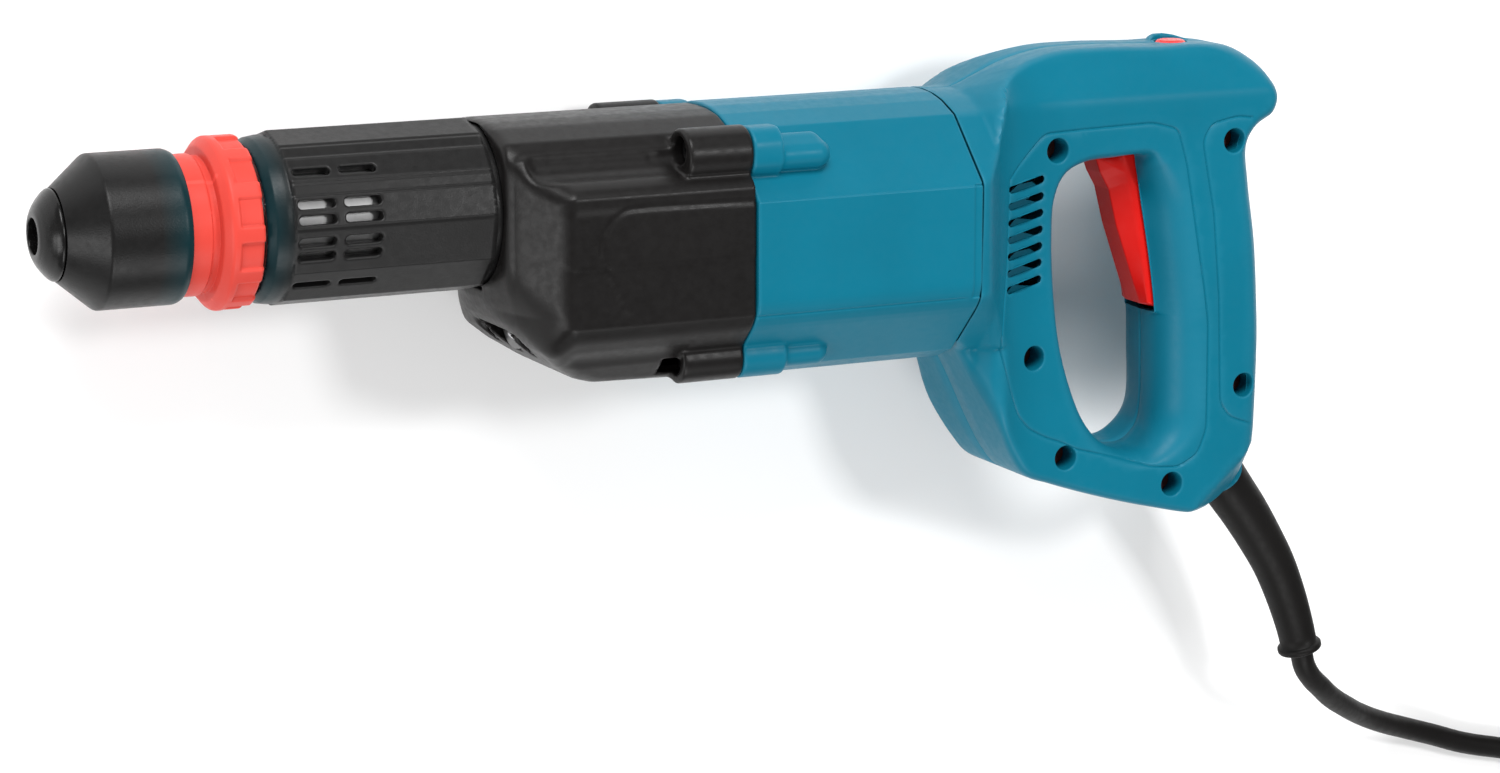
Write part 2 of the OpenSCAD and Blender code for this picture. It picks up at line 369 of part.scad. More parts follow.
module cord_coil() { color([0.05,0.05,0.05]) fr() translate([coil_xy[0], coil_xy[1], -half_w]) rotate_extrude()
 polygon([[coil_r - 9.5,0.02],[coil_r + 9.5,0.02],[coil_r + 11.4,2.5],[coil_r + 11.4,20],[coil_r + 9.5,22.7],[coil_r - 9.5,22.7],[coil_r - 11.4,20],[coil_r - 11.4,2.5]]); }
module plug_body() { color([0.06,0.06,0.06]) fr() translate([650, 0, -half_w + 13]) rotate([-90, 0, 0]) {
 translate([0, 0, -150]) cylinder(h = 14, r1 = 5, r2 = 6.6);
 translate([0, 0, -136.2]) intersection() { cylinder(h = 34, r = 18); translate([-18, -13, 0]) cube([36, 26, 34]); }
}}
module plug_pins() { color([0.8,0.8,0.8]) fr() for (s = [-9.5, 9.5]) translate([650 + s, -102.2, -half_w + 13]) rotate([-90, 0, 0]) { cylinder(h = 18, r = 2.4); translate([0, 0, 18]) sphere(r = 2.4); } }

dust_cap();
tool_holder();
locking_ball();
chuck_spring();
chuck_sleeve();
change_ring();
index_spring();
oil_seal();
front_bush();
barrel();
barrel_cover();
bolt_guide();
impact_bolt();
bolt_o_ring();
cylinder_liner();  // cylinder
striker();
striker_o_rings();
piston();
piston_pin();
wobble_ring();
wobble_balls();
intermediate_shaft();
driven_gear();
shaft_bearings();
gear_housing();
belly_screws();
bearing_plate();
housing_screws();
motor_housing();
armature_shaft();
motor_bearing_front();
motor_bearing_rear();
fan();
baffle();
armature_core();
armature_winding();
commutator();
stator_core();
field_coils();
end_bracket();
brush_holders();
carbon_brushes();
brush_springs();
handle_left();
handle_right();
handle_screws();
trigger();
trigger_pin();
trigger_spring();
switch_body();
capacitor();
motor_leads();
lock_button();
inner_cable();
cord_clamp();
cord_guard();
cord();
cord_coil();
plug_body();
plug_pins();
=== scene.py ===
# Light demolition hammer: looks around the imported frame. All lengths in the helpers are tool millimetres:
# X back from the nose, Y tool-up, Z out of the left side. put() turns them into row metres.
import math
import bpy, bmesh
import numpy as np
from mathutils import Vector, Matrix, noise
from mathutils.geometry import delaunay_2d_cdt


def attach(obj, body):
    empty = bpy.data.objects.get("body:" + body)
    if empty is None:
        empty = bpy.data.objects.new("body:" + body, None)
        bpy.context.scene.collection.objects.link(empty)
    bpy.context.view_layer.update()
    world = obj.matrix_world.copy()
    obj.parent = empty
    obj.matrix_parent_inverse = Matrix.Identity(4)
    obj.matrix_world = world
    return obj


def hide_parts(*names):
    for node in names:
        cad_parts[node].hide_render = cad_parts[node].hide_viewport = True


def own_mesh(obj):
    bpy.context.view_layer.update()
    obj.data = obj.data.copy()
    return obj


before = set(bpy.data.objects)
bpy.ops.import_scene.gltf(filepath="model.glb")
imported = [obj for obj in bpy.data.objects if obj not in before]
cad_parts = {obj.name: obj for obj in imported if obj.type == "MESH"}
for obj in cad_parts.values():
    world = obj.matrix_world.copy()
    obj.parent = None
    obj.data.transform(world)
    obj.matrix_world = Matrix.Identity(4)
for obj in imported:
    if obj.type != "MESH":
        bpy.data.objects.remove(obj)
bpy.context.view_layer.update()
scene = bpy.context.scene
scene.view_settings.view_transform = "Standard"
scene.view_settings.look = "None"
OFF = np.array([-202.0, 38.5, 41.6])


def put(p):
    """tool millimetres to row metres"""
    return (np.asarray(p, float) + OFF) / 1000.0


# ---------------------------------------------------------------- camera, floor, light
cam_data = bpy.data.cameras.new("camera")
cam = bpy.data.objects.new("camera", cam_data)
scene.collection.objects.link(cam)
yaw, el = math.radians(25.9), math.radians(11.6)
view_d = Vector((math.sin(yaw) * math.cos(el), -math.sin(el), -math.cos(yaw) * math.cos(el)))
view_r = Vector((math.cos(yaw), 0, math.sin(yaw)))
view_u = view_r.cross(view_d)
M = Matrix.Identity(4)
for i in range(3):
    M[i][0], M[i][1], M[i][2] = view_r[i], view_u[i], -view_d[i]
M.translation = Vector((-0.51881, 0.22961, 1.15603))
cam.matrix_world = M
cam_data.sensor_width = 36.0
cam_data.sensor_fit = "HORIZONTAL"
cam_data.lens = 98.69
cam_data.clip_start, cam_data.clip_end = 0.05, 50
scene.camera = cam


# ---------------------------------------------------------------- small mesh kit
def new_obj(name, verts, faces, body, mat, smooth=True, mm=True):
    me = bpy.data.meshes.new(name)
    v = put(verts) if mm else np.asarray(verts, float)
    me.from_pydata([tuple(p) for p in v.tolist()], [], [tuple(f) for f in faces])
    me.validate()
    me.polygons.foreach_set("use_smooth", [smooth] * len(me.polygons))
    me.update()
    ob = bpy.data.objects.new(name, me)
    scene.collection.objects.link(ob)
    if mat is not None:
        me.materials.append(mat)
    if body is not None:
        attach(ob, body)
    return ob


def fast_obj(name, verts, quads, body, mat):
    """Many quads or triangles from arrays."""
    me = bpy.data.meshes.new(name)
    v = put(verts).astype(np.float32)
    q = np.asarray(quads, np.int32)
    n, k = q.shape
    me.vertices.add(len(v))
    me.vertices.foreach_set("co", v.reshape(-1))
    me.loops.add(n * k)
    me.loops.foreach_set("vertex_index", q.reshape(-1))
    me.polygons.add(n)
    me.polygons.foreach_set("loop_start", np.arange(0, n * k, k, dtype=np.int32))
    me.polygons.foreach_set("loop_total", np.full(n, k, np.int32))
    me.update(calc_edges=True)
    me.validate()
    me.polygons.foreach_set("use_smooth", np.ones(len(me.polygons), bool))
    me.update()
    ob = bpy.data.objects.new(name, me)
    scene.collection.objects.link(ob)
    me.materials.append(mat)
    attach(ob, body)
    return ob


def spin(name, prof, body, mat, n=192, axis_y=0.0, radius=None, origin=(0, 0), closed=False, along="x"):
    """Profile [(x, r)...] turned about the tool's X axis (or Y axis with along='y'); radius(theta, i) may change r."""
    th = np.linspace(0, 2 * np.pi, n, endpoint=False)
    P = np.asarray(prof, float)
    m = len(P)
    rr = np.repeat(P[:, 1][:, None], n, 1)
    if radius is not None:
        rr = radius(th[None, :], P[:, 0][:, None], rr)
    X = np.repeat(P[:, 0][:, None], n, 1)
    A, B = rr * np.sin(th)[None, :], rr * np.cos(th)[None, :]
    if along == "x":
        V = np.stack([X, A + axis_y, B], -1).reshape(-1, 3)
    else:
        V = np.stack([origin[0] + B, X, origin[1] + A], -1).reshape(-1, 3)
    quads = []
    rows = m if closed else m - 1
    for i in range(rows):
        a, b = i * n, ((i + 1) % m) * n
        j = np.arange(n)
        k = (j + 1) % n
        quads.append(np.stack([a + j, a + k, b + k, b + j], 1))
    quads = np.concatenate(quads)
    ob = fast_obj(name, V, quads, body, mat)
    fix_normals(ob)
    return ob


def fix_normals(ob):
    bm = bmesh.new()
    bm.from_mesh(ob.data)
    bmesh.ops.remove_doubles(bm, verts=bm.verts, dist=1e-7)
    bmesh.ops.recalc_face_normals(bm, faces=bm.faces)
    bm.to_mesh(ob.data)
    bm.free()
    ob.data.polygons.foreach_set("use_smooth", np.ones(len(ob.data.polygons), bool))
    ob.data.update()


def round_profile(P, r=0.4, n=3, closed=False):
    """Corners of a polyline cut to short arcs; r may be a list, one per point."""
    P = [np.array(p, float) for p in P]
    out = []
    m = len(P)
    for i, p in enumerate(P):
        ri = r[i] if isinstance(r, (list, tuple)) else r
        if (not closed and i in (0, m - 1)) or ri <= 0:
            out.append(p)
            continue
        a, b = P[i - 1], P[(i + 1) % m]
        la, lb = np.linalg.norm(a - p), np.linalg.norm(b - p)
        if la < 1e-6 or lb < 1e-6:
            out.append(p)
            continue
        u, v = (a - p) / la, (b - p) / lb
        t = min(ri, la * 0.45, lb * 0.45)
        s, e = p + u * t, p + v * t
        for k in range(n + 1):
            q = k / n
            out.append((1 - q) ** 2 * s + 2 * q * (1 - q) * p + q * q * e)
    return [tuple(o) for o in out]


def split_long(P, step):
    out = [P[0]]
    for a, b in zip(P[:-1], P[1:]):
        L = math.dist(a, b)
        k = max(1, int(math.ceil(L / step)))
        for i in range(1, k + 1):
            t = i / k
            out.append(tuple(a[j] * (1 - t) + b[j] * t for j in range(len(a))))
    return out


def catmull(P, k=4, closed=False):
    P = np.asarray(P, float)
    n = len(P)
    out = []
    segs = n if closed else n - 1
    for i in range(segs):
        if closed:
            a, b, c, d = P[i - 1], P[i], P[(i + 1) % n], P[(i + 2) % n]
        else:
            a, b, c, d = P[max(i - 1, 0)], P[i], P[i + 1], P[min(i + 2, n - 1)]
        # centripetal form keeps the curve close to uneven points
        t0, t1 = 0.0, max(1e-6, np.linalg.norm(b - a) ** 0.5)
        t2 = t1 + max(1e-6, np.linalg.norm(c - b) ** 0.5)
        t3 = t2 + max(1e-6, np.linalg.norm(d - c) ** 0.5)
        if np.allclose(a, b):
            a = b - (c - b)
            t1 = np.linalg.norm(b - a) ** 0.5
            t2 = t1 + np.linalg.norm(c - b) ** 0.5
            t3 = t2 + max(1e-6, np.linalg.norm(d - c) ** 0.5)
        if np.allclose(c, d):
            d = c + (c - b)
            t3 = t2 + np.linalg.norm(d - c) ** 0.5
        for j in range(k):
            t = t1 + (t2 - t1) * j / k
            A1 = (t1 - t) / (t1 - t0) * a + (t - t0) / (t1 - t0) * b
            A2 = (t2 - t) / (t2 - t1) * b + (t - t1) / (t2 - t1) * c
            A3 = (t3 - t) / (t3 - t2) * c + (t - t2) / (t3 - t2) * d
            B1 = (t2 - t) / (t2 - t0) * A1 + (t - t0) / (t2 - t0) * A2
            B2 = (t3 - t) / (t3 - t1) * A2 + (t - t1) / (t3 - t1) * A3
            out.append((t2 - t) / (t2 - t1) * B1 + (t - t1) / (t2 - t1) * B2)
    if not closed:
        out.append(P[-1])
    return np.array(out)


def smax(a, b, k):
    if k <= 0:
        return np.maximum(a, b)
    h = np.maximum(k - np.abs(a - b), 0) / k
    return np.maximum(a, b) + h * h * k * 0.25


def smin(a, b, k):
    return -smax(-a, -b, k)


def step01(x, a, b):
    t = np.clip((x - a) / (b - a), 0, 1)
    return t * t * (3 - 2 * t)


def poly2(P, A, B):
    """Signed distance to a closed polygon, negative inside."""
    A, B = np.broadcast_arrays(np.asarray(A, np.float32), np.asarray(B, np.float32))
    P = np.asarray(P, np.float32)
    d2 = np.full(A.shape, 1e12, np.float32)
    inside = np.zeros(A.shape, bool)
    n = len(P)
    for i in range(n):
        x0, y0 = P[i]
        x1, y1 = P[(i + 1) % n]
        ex, ey = x1 - x0, y1 - y0
        L = ex * ex + ey * ey
        if L < 1e-12:
            continue
        wx, wy = A - x0, B - y0
        t = np.clip((wx * ex + wy * ey) / L, 0, 1)
        dx, dy = wx - ex * t, wy - ey * t
        np.minimum(d2, dx * dx + dy * dy, out=d2)
        cross = ((y0 <= B) & (y1 > B) & (ex * wy > ey * wx)) | ((y0 > B) & (y1 <= B) & (ex * wy < ey * wx))
        # crossing of a ray along +A
        inside ^= cross
    d = np.sqrt(d2)
    return np.where(inside, -d, d)


def line2(P, A, B, closed=False):
    """Distance to a polyline."""
    A, B = np.broadcast_arrays(np.asarray(A, np.float32), np.asarray(B, np.float32))
    P = np.asarray(P, np.float32)
    d2 = np.full(A.shape, 1e12, np.float32)
    n = len(P)
    for i in range(n if closed else n - 1):
        x0, y0 = P[i]
        x1, y1 = P[(i + 1) % n]
        ex, ey = x1 - x0, y1 - y0
        L = ex * ex + ey * ey
        if L < 1e-12:
            continue
        wx, wy = A - x0, B - y0
        t = np.clip((wx * ex + wy * ey) / L, 0, 1)
        dx, dy = wx - ex * t, wy - ey * t
        np.minimum(d2, dx * dx + dy * dy, out=d2)
    return np.sqrt(d2)


def inset_poly(P, d):
    """Anticlockwise polygon moved inwards by d."""
    P = np.asarray(P, float)
    n = len(P)
    out = []
    for i in range(n):
        e0 = P[i] - P[i - 1]
        e1 = P[(i + 1) % n] - P[i]
        n0 = np.array([-e0[1], e0[0]]) / np.linalg.norm(e0)
        n1 = np.array([-e1[1], e1[0]]) / np.linalg.norm(e1)
        s = n0 + n1
        s /= np.linalg.norm(s)
        out.append(P[i] + d / max(0.5, n0 @ s) * s)
    return np.array(out)


def nets(f, xs, ys, zs, refine=1):
    """Smooth closed surface f = 0 on a grid whose steps may vary."""
    xs, ys, zs = (np.asarray(a, np.float32) for a in (xs, ys, zs))
    F = np.ascontiguousarray(np.broadcast_to(f(xs[:, None, None], ys[None, :, None], zs[None, None, :]), (len(xs), len(ys), len(zs)))).astype(np.float32)
    F[np.abs(F) < 1e-6] = 1e-6
    S = F < 0
    cnt = np.zeros(tuple(n - 1 for n in F.shape), np.uint8)
    for a in (0, 1):
        for b in (0, 1):
            for c in (0, 1):
                cnt += S[a:F.shape[0] - 1 + a, b:F.shape[1] - 1 + b, c:F.shape[2] - 1 + c]
    I, J, K = np.nonzero((cnt > 0) & (cnt < 8))
    idx = np.full(cnt.shape, -1, np.int32)
    idx[I, J, K] = np.arange(len(I))
    P = np.zeros((len(I), 3))
    N = np.zeros(len(I))
    ax = (xs, ys, zs)
    for axis in range(3):
        for b in (0, 1):
            for c in (0, 1):
                o = [0, 0, 0]
                o[(axis + 1) % 3], o[(axis + 2) % 3] = b, c
                q = list(o)
                q[axis] += 1
                i0 = (I + o[0], J + o[1], K + o[2])
                i1 = (I + q[0], J + q[1], K + q[2])
                fa, fb = F[i0], F[i1]
                m = (fa < 0) != (fb < 0)
                t = fa[m] / (fa[m] - fb[m])
                for d in range(3):
                    a0, a1 = ax[d][i0[d][m]], ax[d][i1[d][m]]
                    P[m, d] += a0 + (a1 - a0) * t
                N[m] += 1
    P /= N[:, None]
    quads = []
    for axis in range(3):
        s0 = [slice(1, -1)] * 3
        s1 = [slice(1, -1)] * 3
        s0[axis], s1[axis] = slice(0, -1), slice(1, None)
        A, B = S[tuple(s0)], S[tuple(s1)]
        ijk = list(np.nonzero(A != B))
        low_in = A[tuple(ijk)]
        for d in range(3):
            if d != axis:
                ijk[d] = ijk[d] + 1
        b, c = (axis + 1) % 3, (axis + 2) % 3

        def at(db, dc):
            q = [v.copy() for v in ijk]
            q[b] -= db
            q[c] -= dc
            return idx[tuple(q)]

        Q = np.stack([at(1, 1), at(0, 1), at(0, 0), at(1, 0)], 1)
        Q[~low_in] = Q[~low_in][:, ::-1]
        quads.append(Q)
    quads = np.concatenate(quads)
    e = 0.04
    for _ in range(refine):
        x, y, z = (P[:, d].astype(np.float32) for d in range(3))
        v = f(x, y, z)
        g = np.stack([f(x + e, y, z) - v, f(x, y + e, z) - v, f(x, y, z + e) - v], 1) / e
        L = np.maximum((g * g).sum(1), 0.2)
        s = np.clip(v / L, -0.25, 0.25)
        P -= s[:, None] * g
    return P, quads


def steps(*segs):
    """Grid positions: (start, end, step) pieces joined."""
    out = []
    for a, b, h in segs:
        n = max(1, int(round((b - a) / h)))
        out += list(a + (b - a) * np.arange(n) / n)
    out.append(segs[-1][1])
    return np.array(out)


# ---------------------------------------------------------------- materials
def nodes_of(name):
    m = bpy.data.materials.new(name)
    m.use_nodes = True
    nt = m.node_tree
    nt.nodes.clear()
    out = nt.nodes.new("ShaderNodeOutputMaterial")
    b = nt.nodes.new("ShaderNodeBsdfPrincipled")
    nt.links.new(b.outputs[0], out.inputs[0])
    tc = nt.nodes.new("ShaderNodeTexCoord")
    return m, nt, b, tc.outputs["Object"]


def noise_node(nt, vec, scale, detail=3.0, rough=0.55, stretch=None):
    if stretch:
        mp = nt.nodes.new("ShaderNodeMapping")
        mp.inputs["Scale"].default_value = stretch
        nt.links.new(vec, mp.inputs["Vector"])
        vec = mp.outputs[0]
    n = nt.nodes.new("ShaderNodeTexNoise")
    n.inputs["Scale"].default_value = scale
    n.inputs["Detail"].default_value = detail
    n.inputs["Roughness"].default_value = rough
    nt.links.new(vec, n.inputs["Vector"])
    return n.outputs["Fac"]


def remap(nt, fac, a, b, c, d):
    n = nt.nodes.new("ShaderNodeMapRange")
    n.inputs["From Min"].default_value, n.inputs["From Max"].default_value = a, b
    n.inputs["To Min"].default_value, n.inputs["To Max"].default_value = c, d
    nt.links.new(fac, n.inputs["Value"])
    return n.outputs["Result"]


def two_tone(nt, fac, c0, c1, lo=0.35, hi=0.65):
    r = nt.nodes.new("ShaderNodeValToRGB")
    r.color_ramp.elements[0].position, r.color_ramp.elements[1].position = lo, hi
    r.color_ramp.elements[0].color = (*c0, 1)
    r.color_ramp.elements[1].color = (*c1, 1)
    nt.links.new(fac, r.inputs["Fac"])
    return r.outputs["Color"]


def bump(nt, bsdf, fac, strength, dist, prev=None):
    n = nt.nodes.new("ShaderNodeBump")
    n.inputs["Strength"].default_value = strength
    n.inputs["Distance"].default_value = dist
    nt.links.new(fac, n.inputs["Height"])
    if prev is not None:
        nt.links.new(prev, n.inputs["Normal"])
    nt.links.new(n.outputs[0], bsdf.inputs["Normal"])
    return n.outputs[0]


def plastic(name, col, rough=0.42, grain=2600.0, depth=0.10, spec=0.5, vary=0.06, painted_sheen=None, edge_highlight=0.0):
    """Moulded plastic: a slow colour drift, fine spark-eroded grain, slightly uneven gloss and a painted highlight that
    lightens sharp edges.
    """
    m, nt, b, co = nodes_of(name)
    slow = noise_node(nt, co, 28.0, 3)
    fine = noise_node(nt, co, grain, 2)
    c0 = tuple(max(0, c * (1 - vary)) for c in col)
    c1 = tuple(min(1, c * (1 + vary)) for c in col)
    colour = two_tone(nt, slow, c0, c1)
    # painted highlight: the colour is lightened on sharp convex edges where Pointiness is high
    if edge_highlight > 0:
        g = nt.nodes.new("ShaderNodeNewGeometry")
        e = remap(nt, g.outputs["Pointiness"], 0.505, 0.60, 0.0, edge_highlight)
        mx = nt.nodes.new("ShaderNodeMix")
        mx.data_type = "RGBA"
        nt.links.new(e, mx.inputs[0])
        nt.links.new(colour, mx.inputs[6])
        mx.inputs[7].default_value = (*[min(1, c * 1.6 + 0.05) for c in col], 1)
        colour = mx.outputs[2]
    if painted_sheen is not None:
        # painted teal sheen: colour blended along X towards the given colour: (start_m, end_m, colour)
        sep = nt.nodes.new("ShaderNodeSeparateXYZ")
        nt.links.new(co, sep.inputs[0])
        f = remap(nt, sep.outputs[0], painted_sheen[0], painted_sheen[1], 0, 1)
        mx = nt.nodes.new("ShaderNodeMix")
        mx.data_type = "RGBA"
        nt.links.new(f, mx.inputs[0])
        nt.links.new(colour, mx.inputs[6])
        mx.inputs[7].default_value = (*painted_sheen[2], 1)
        colour = mx.outputs[2]
    nt.links.new(colour, b.inputs["Base Color"])
    mid = noise_node(nt, co, 420.0, 2)
    nt.links.new(remap(nt, mid, 0.3, 0.7, rough - 0.05, rough + 0.05), b.inputs["Roughness"])
    b.inputs["Specular IOR Level"].default_value = spec
    if depth > 0:
        bump(nt, b, fine, depth, 0.00025)
    return m


def metal(name, col, rough=0.3, turned=None, depth=0.05, scale=900.0):
    """Machined metal; turned gives the stretch that lays the tool marks round or along the piece."""
    m, nt, b, co = nodes_of(name)
    slow = noise_node(nt, co, 60.0, 3)
    c0, c1 = tuple(c * 0.86 for c in col), tuple(min(1, c * 1.06) for c in col)
    nt.links.new(two_tone(nt, slow, c0, c1), b.inputs["Base Color"])
    b.inputs["Metallic"].default_value = 1.0
    marks = noise_node(nt, co, scale, 3, stretch=turned or (6.0, 0.4, 0.4))
    nt.links.new(remap(nt, marks, 0.3, 0.7, rough - 0.07, rough + 0.09), b.inputs["Roughness"])
    bump(nt, b, marks, depth, 0.0001)
    return m


def cast(name, col, rough=0.5):
    m, nt, b, co = nodes_of(name)
    slow = noise_node(nt, co, 120.0, 4)
    nt.links.new(two_tone(nt, slow, tuple(c * 0.8 for c in col), col), b.inputs["Base Color"])
    b.inputs["Metallic"].default_value = 0.9
    grit = noise_node(nt, co, 1500.0, 3)
    nt.links.new(remap(nt, grit, 0.3, 0.7, rough - 0.08, rough + 0.1), b.inputs["Roughness"])
    bump(nt, b, grit, 0.25, 0.0003)
    return m


def banded(name, c0, c1, scale, metallic, rough, axis=0, bands_in="x"):
    """Stacked sheets or wound wire: even bands along one axis with a little unevenness."""
    m, nt, b, co = nodes_of(name)
    w = nt.nodes.new("ShaderNodeTexWave")
    w.wave_type = "BANDS"
    w.bands_direction = bands_in.upper()
    w.inputs["Scale"].default_value = scale
    w.inputs["Distortion"].default_value = 0.4
    w.inputs["Detail"].default_value = 1.0
    nt.links.new(co, w.inputs["Vector"])
    nt.links.new(two_tone(nt, w.outputs["Fac"], c0, c1, 0.2, 0.7), b.inputs["Base Color"])
    b.inputs["Metallic"].default_value = metallic
    nz = noise_node(nt, co, 700.0, 2)
    nt.links.new(remap(nt, nz, 0.3, 0.7, rough - 0.05, rough + 0.08), b.inputs["Roughness"])
    bump(nt, b, w.outputs["Fac"], 0.35, 0.0003)
    return m


TEAL = (0.0015, 0.122, 0.188)
# the edge values here paint a lighter highlight onto sharp edges
teal = plastic("teal_plastic", TEAL, rough=0.38, grain=2400, depth=0.05, vary=0.035, edge_highlight=0.35, spec=0.11)
black = plastic("black_housing_plastic", (0.0058, 0.0052, 0.0051), rough=0.36, grain=2200, depth=0.09, vary=0.10, edge_highlight=0.10, spec=0.17)
# painted sheen: the barrel cover's front cone is blended towards dark teal
black_barrel = plastic("black_barrel_plastic", (0.0070, 0.0068, 0.0068), rough=0.36, grain=1900, depth=0.13, vary=0.10, spec=0.17,
                       painted_sheen=((70 - 202) / 1000, (61 - 202) / 1000, (0.000, 0.020, 0.026)), edge_highlight=0.15)
# painted sheen: the sleeve's rear edge is blended towards dark teal
sleeve_black = plastic("black_sleeve", (0.0066, 0.0064, 0.0064), rough=0.36, grain=1700, depth=0.14, vary=0.10, spec=0.17,
                       painted_sheen=((31 - 202) / 1000, (41 - 202) / 1000, (0.000, 0.022, 0.028)))
cap_black = plastic("black_rubber_cap", (0.0045, 0.0043, 0.0043), rough=0.25, grain=1500, depth=0.05, vary=0.12, spec=0.22)
red_ring = plastic("red_ring_plastic", (0.56, 0.050, 0.036), rough=0.40, grain=2300, depth=0.06, vary=0.04, edge_highlight=0.25, spec=0.15)
red_trigger = plastic("red_trigger_plastic", (0.52, 0.006, 0.004), rough=0.36, grain=2500, depth=0.04, vary=0.03, spec=0.16)
red_button = plastic("red_button_plastic", (0.78, 0.014, 0.010), rough=0.3, grain=2500, depth=0.04, vary=0.03)
rubber = plastic("cord_rubber", (0.0045, 0.0040, 0.0038), rough=0.50, grain=1400, depth=0.10, vary=0.15, spec=0.14)
dark_plastic = plastic("dark_moulded_plastic", (0.02, 0.02, 0.021), rough=0.5, grain=1800, depth=0.12, vary=0.12)
brush_tex = plastic("carbon", (0.018, 0.018, 0.019), rough=0.6, grain=3000, depth=0.3, vary=0.2)
nitrile = plastic("nitrile_rubber", (0.012, 0.012, 0.012), rough=0.5, grain=2400, depth=0.15, vary=0.2)
cap_yellow = plastic("capacitor_case", (0.60, 0.42, 0.05), rough=0.35, grain=900, depth=0.05, vary=0.06)
lead_blue = plastic("lead_insulation", (0.02, 0.03, 0.22), rough=0.4, grain=900, depth=0.05, vary=0.08)
steel = metal("ground_steel", (0.60, 0.61, 0.63), 0.26)
bright = metal("bright_aluminium", (0.26, 0.26, 0.26), 0.42, turned=(9.0, 0.5, 0.5))
spring_steel = metal("spring_steel", (0.52, 0.52, 0.54), 0.3, scale=1600)
hard_steel = metal("hardened_steel", (0.42, 0.42, 0.44), 0.28)
ball_steel = metal("ball_steel", (0.80, 0.80, 0.82), 0.14, depth=0.02)
brass = metal("brass", (0.78, 0.56, 0.24), 0.3)
bronze = cast("sintered_bronze", (0.62, 0.40, 0.20), 0.45)
alu_cast = cast("cast_aluminium", (0.62, 0.63, 0.64), 0.5)
copper_seg = banded("commutator_copper", (0.45, 0.16, 0.07), (0.85, 0.42, 0.22), 90, 1.0, 0.25, bands_in="y")
copper_wire = banded("enamelled_wire", (0.20, 0.05, 0.015), (0.62, 0.24, 0.08), 420, 0.6, 0.32, bands_in="y")
laminations = banded("laminated_core", (0.14, 0.14, 0.15), (0.42, 0.42, 0.44), 520, 1.0, 0.42, bands_in="x")
screw_black = metal("blackened_screw", (0.10, 0.10, 0.105), 0.36)
screw_red = plastic("sealed_screw", (0.085, 0.012, 0.006), rough=0.34, grain=1600, depth=0.2, vary=0.35)
pin_nickel = metal("nickel_pins", (0.74, 0.72, 0.68), 0.2, depth=0.02)

NODE_MATS = {
    "tool_holder": steel, "locking_ball": ball_steel, "chuck_spring": spring_steel, "index_spring": spring_steel,
    "oil_seal": nitrile, "front_bush": bronze, "barrel": bright, "bolt_guide": hard_steel, "impact_bolt": steel,
    "bolt_o_ring": nitrile, "cylinder": steel, "striker": steel, "striker_o_rings": nitrile, "piston": bright,
    "piston_pin": hard_steel, "wobble_ring": hard_steel, "wobble_balls": ball_steel, "intermediate_shaft": hard_steel,
    "driven_gear": hard_steel, "shaft_bearings": ball_steel, "belly_screws": screw_black, "bearing_plate": alu_cast,
    "housing_screws": screw_black, "armature_shaft": steel, "motor_bearing_front": ball_steel,
    "motor_bearing_rear": ball_steel, "fan": dark_plastic, "baffle": dark_plastic, "armature_core": laminations,
    "armature_winding": copper_wire, "commutator": copper_seg, "stator_core": laminations, "field_coils": copper_wire,
    "end_bracket": dark_plastic, "brush_holders": brass, "carbon_brushes": brush_tex, "brush_springs": spring_steel,
    "handle_screws": screw_red, "trigger_pin": steel, "trigger_spring": spring_steel, "switch_body": dark_plastic,
    "capacitor": cap_yellow, "motor_leads": lead_blue, "inner_cable": rubber, "cord_clamp": dark_plastic,
    "dust_cap": cap_black, "chuck_sleeve": sleeve_black, "change_ring": red_ring, "barrel_cover": black_barrel,
    "gear_housing": black, "motor_housing": teal, "handle_left": teal, "handle_right": teal, "trigger": red_trigger,
    "lock_button": red_button, "cord_guard": rubber, "cord": rubber, "cord_coil": rubber, "plug_body": rubber,
    "plug_pins": pin_nickel,
}
for name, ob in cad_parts.items():
    for s in ob.material_slots:
        s.material = NODE_MATS[name]
    if not ob.material_slots:
        ob.data.materials.append(NODE_MATS[name])

# ---------------------------------------------------------------- cord, in the order it was laid
CORD_D = 7.6
CZ = CORD_D / 2 - 41.6
route = [(427.6, -168.6, 0), (429, -172, 0), (431, -177, -1), (435, -182, -3), (441, -187, -6), (449, -193, -11), (459, -199, -17),
         (470, -205, -24), (483, -211, -30), (496, -216, -34.5), (510, -221, -37), (524, -226, CZ), (540, -230, CZ),
         (557, -234, CZ), (575, -236.6, CZ), (588, -237, CZ)]
COIL = (600.0, -187.4)
moves = [(0, 170, (2, 0), (1, 0)), (1, 170, (1, 0), (0, 0)), (2, 114, (0, 0), (0, 1)), (3, 114, (0, 1), (0, 2)),
         (4, 58, (0, 2), (1, 2)), (5, 2, (1, 2), (1, 1)), (6, -54, (1, 1), (2, 1)), (7, -110, (2, 1), (2, 2))]
phi = -90.0
coil_pts = []
while phi <= 360 * 8 + 0.01:
    u, v = 2.0, 0.0
    for turn, a, p, q in moves:
        t = min(1.0, max(0.0, (phi - 360 * turn - a) / 100.0))
        t = 0.5 - 0.5 * math.cos(math.pi * t)
        if phi > 360 * turn + a:
            u, v = p[0] + (q[0] - p[0]) * t, p[1] + (q[1] - p[1]) * t
    R = 34.4 + 7.6 * u
    coil_pts.append((COIL[0] + R * math.cos(math.radians(phi)), COIL[1] + R * math.sin(math.radians(phi)), CZ + 7.6 * v))
    phi += 15.0
tail = [(650.0, -176, CZ + 14.4), (650, -166, CZ + 12.2), (650, -158, CZ + 10.2), (650, -150, CZ + 9.4), (650, -145, CZ + 9.2)]
cord_path = route + coil_pts + tail
cd = bpy.data.curves.new("mains_cord", "CURVE")
cd.dimensions = "3D"
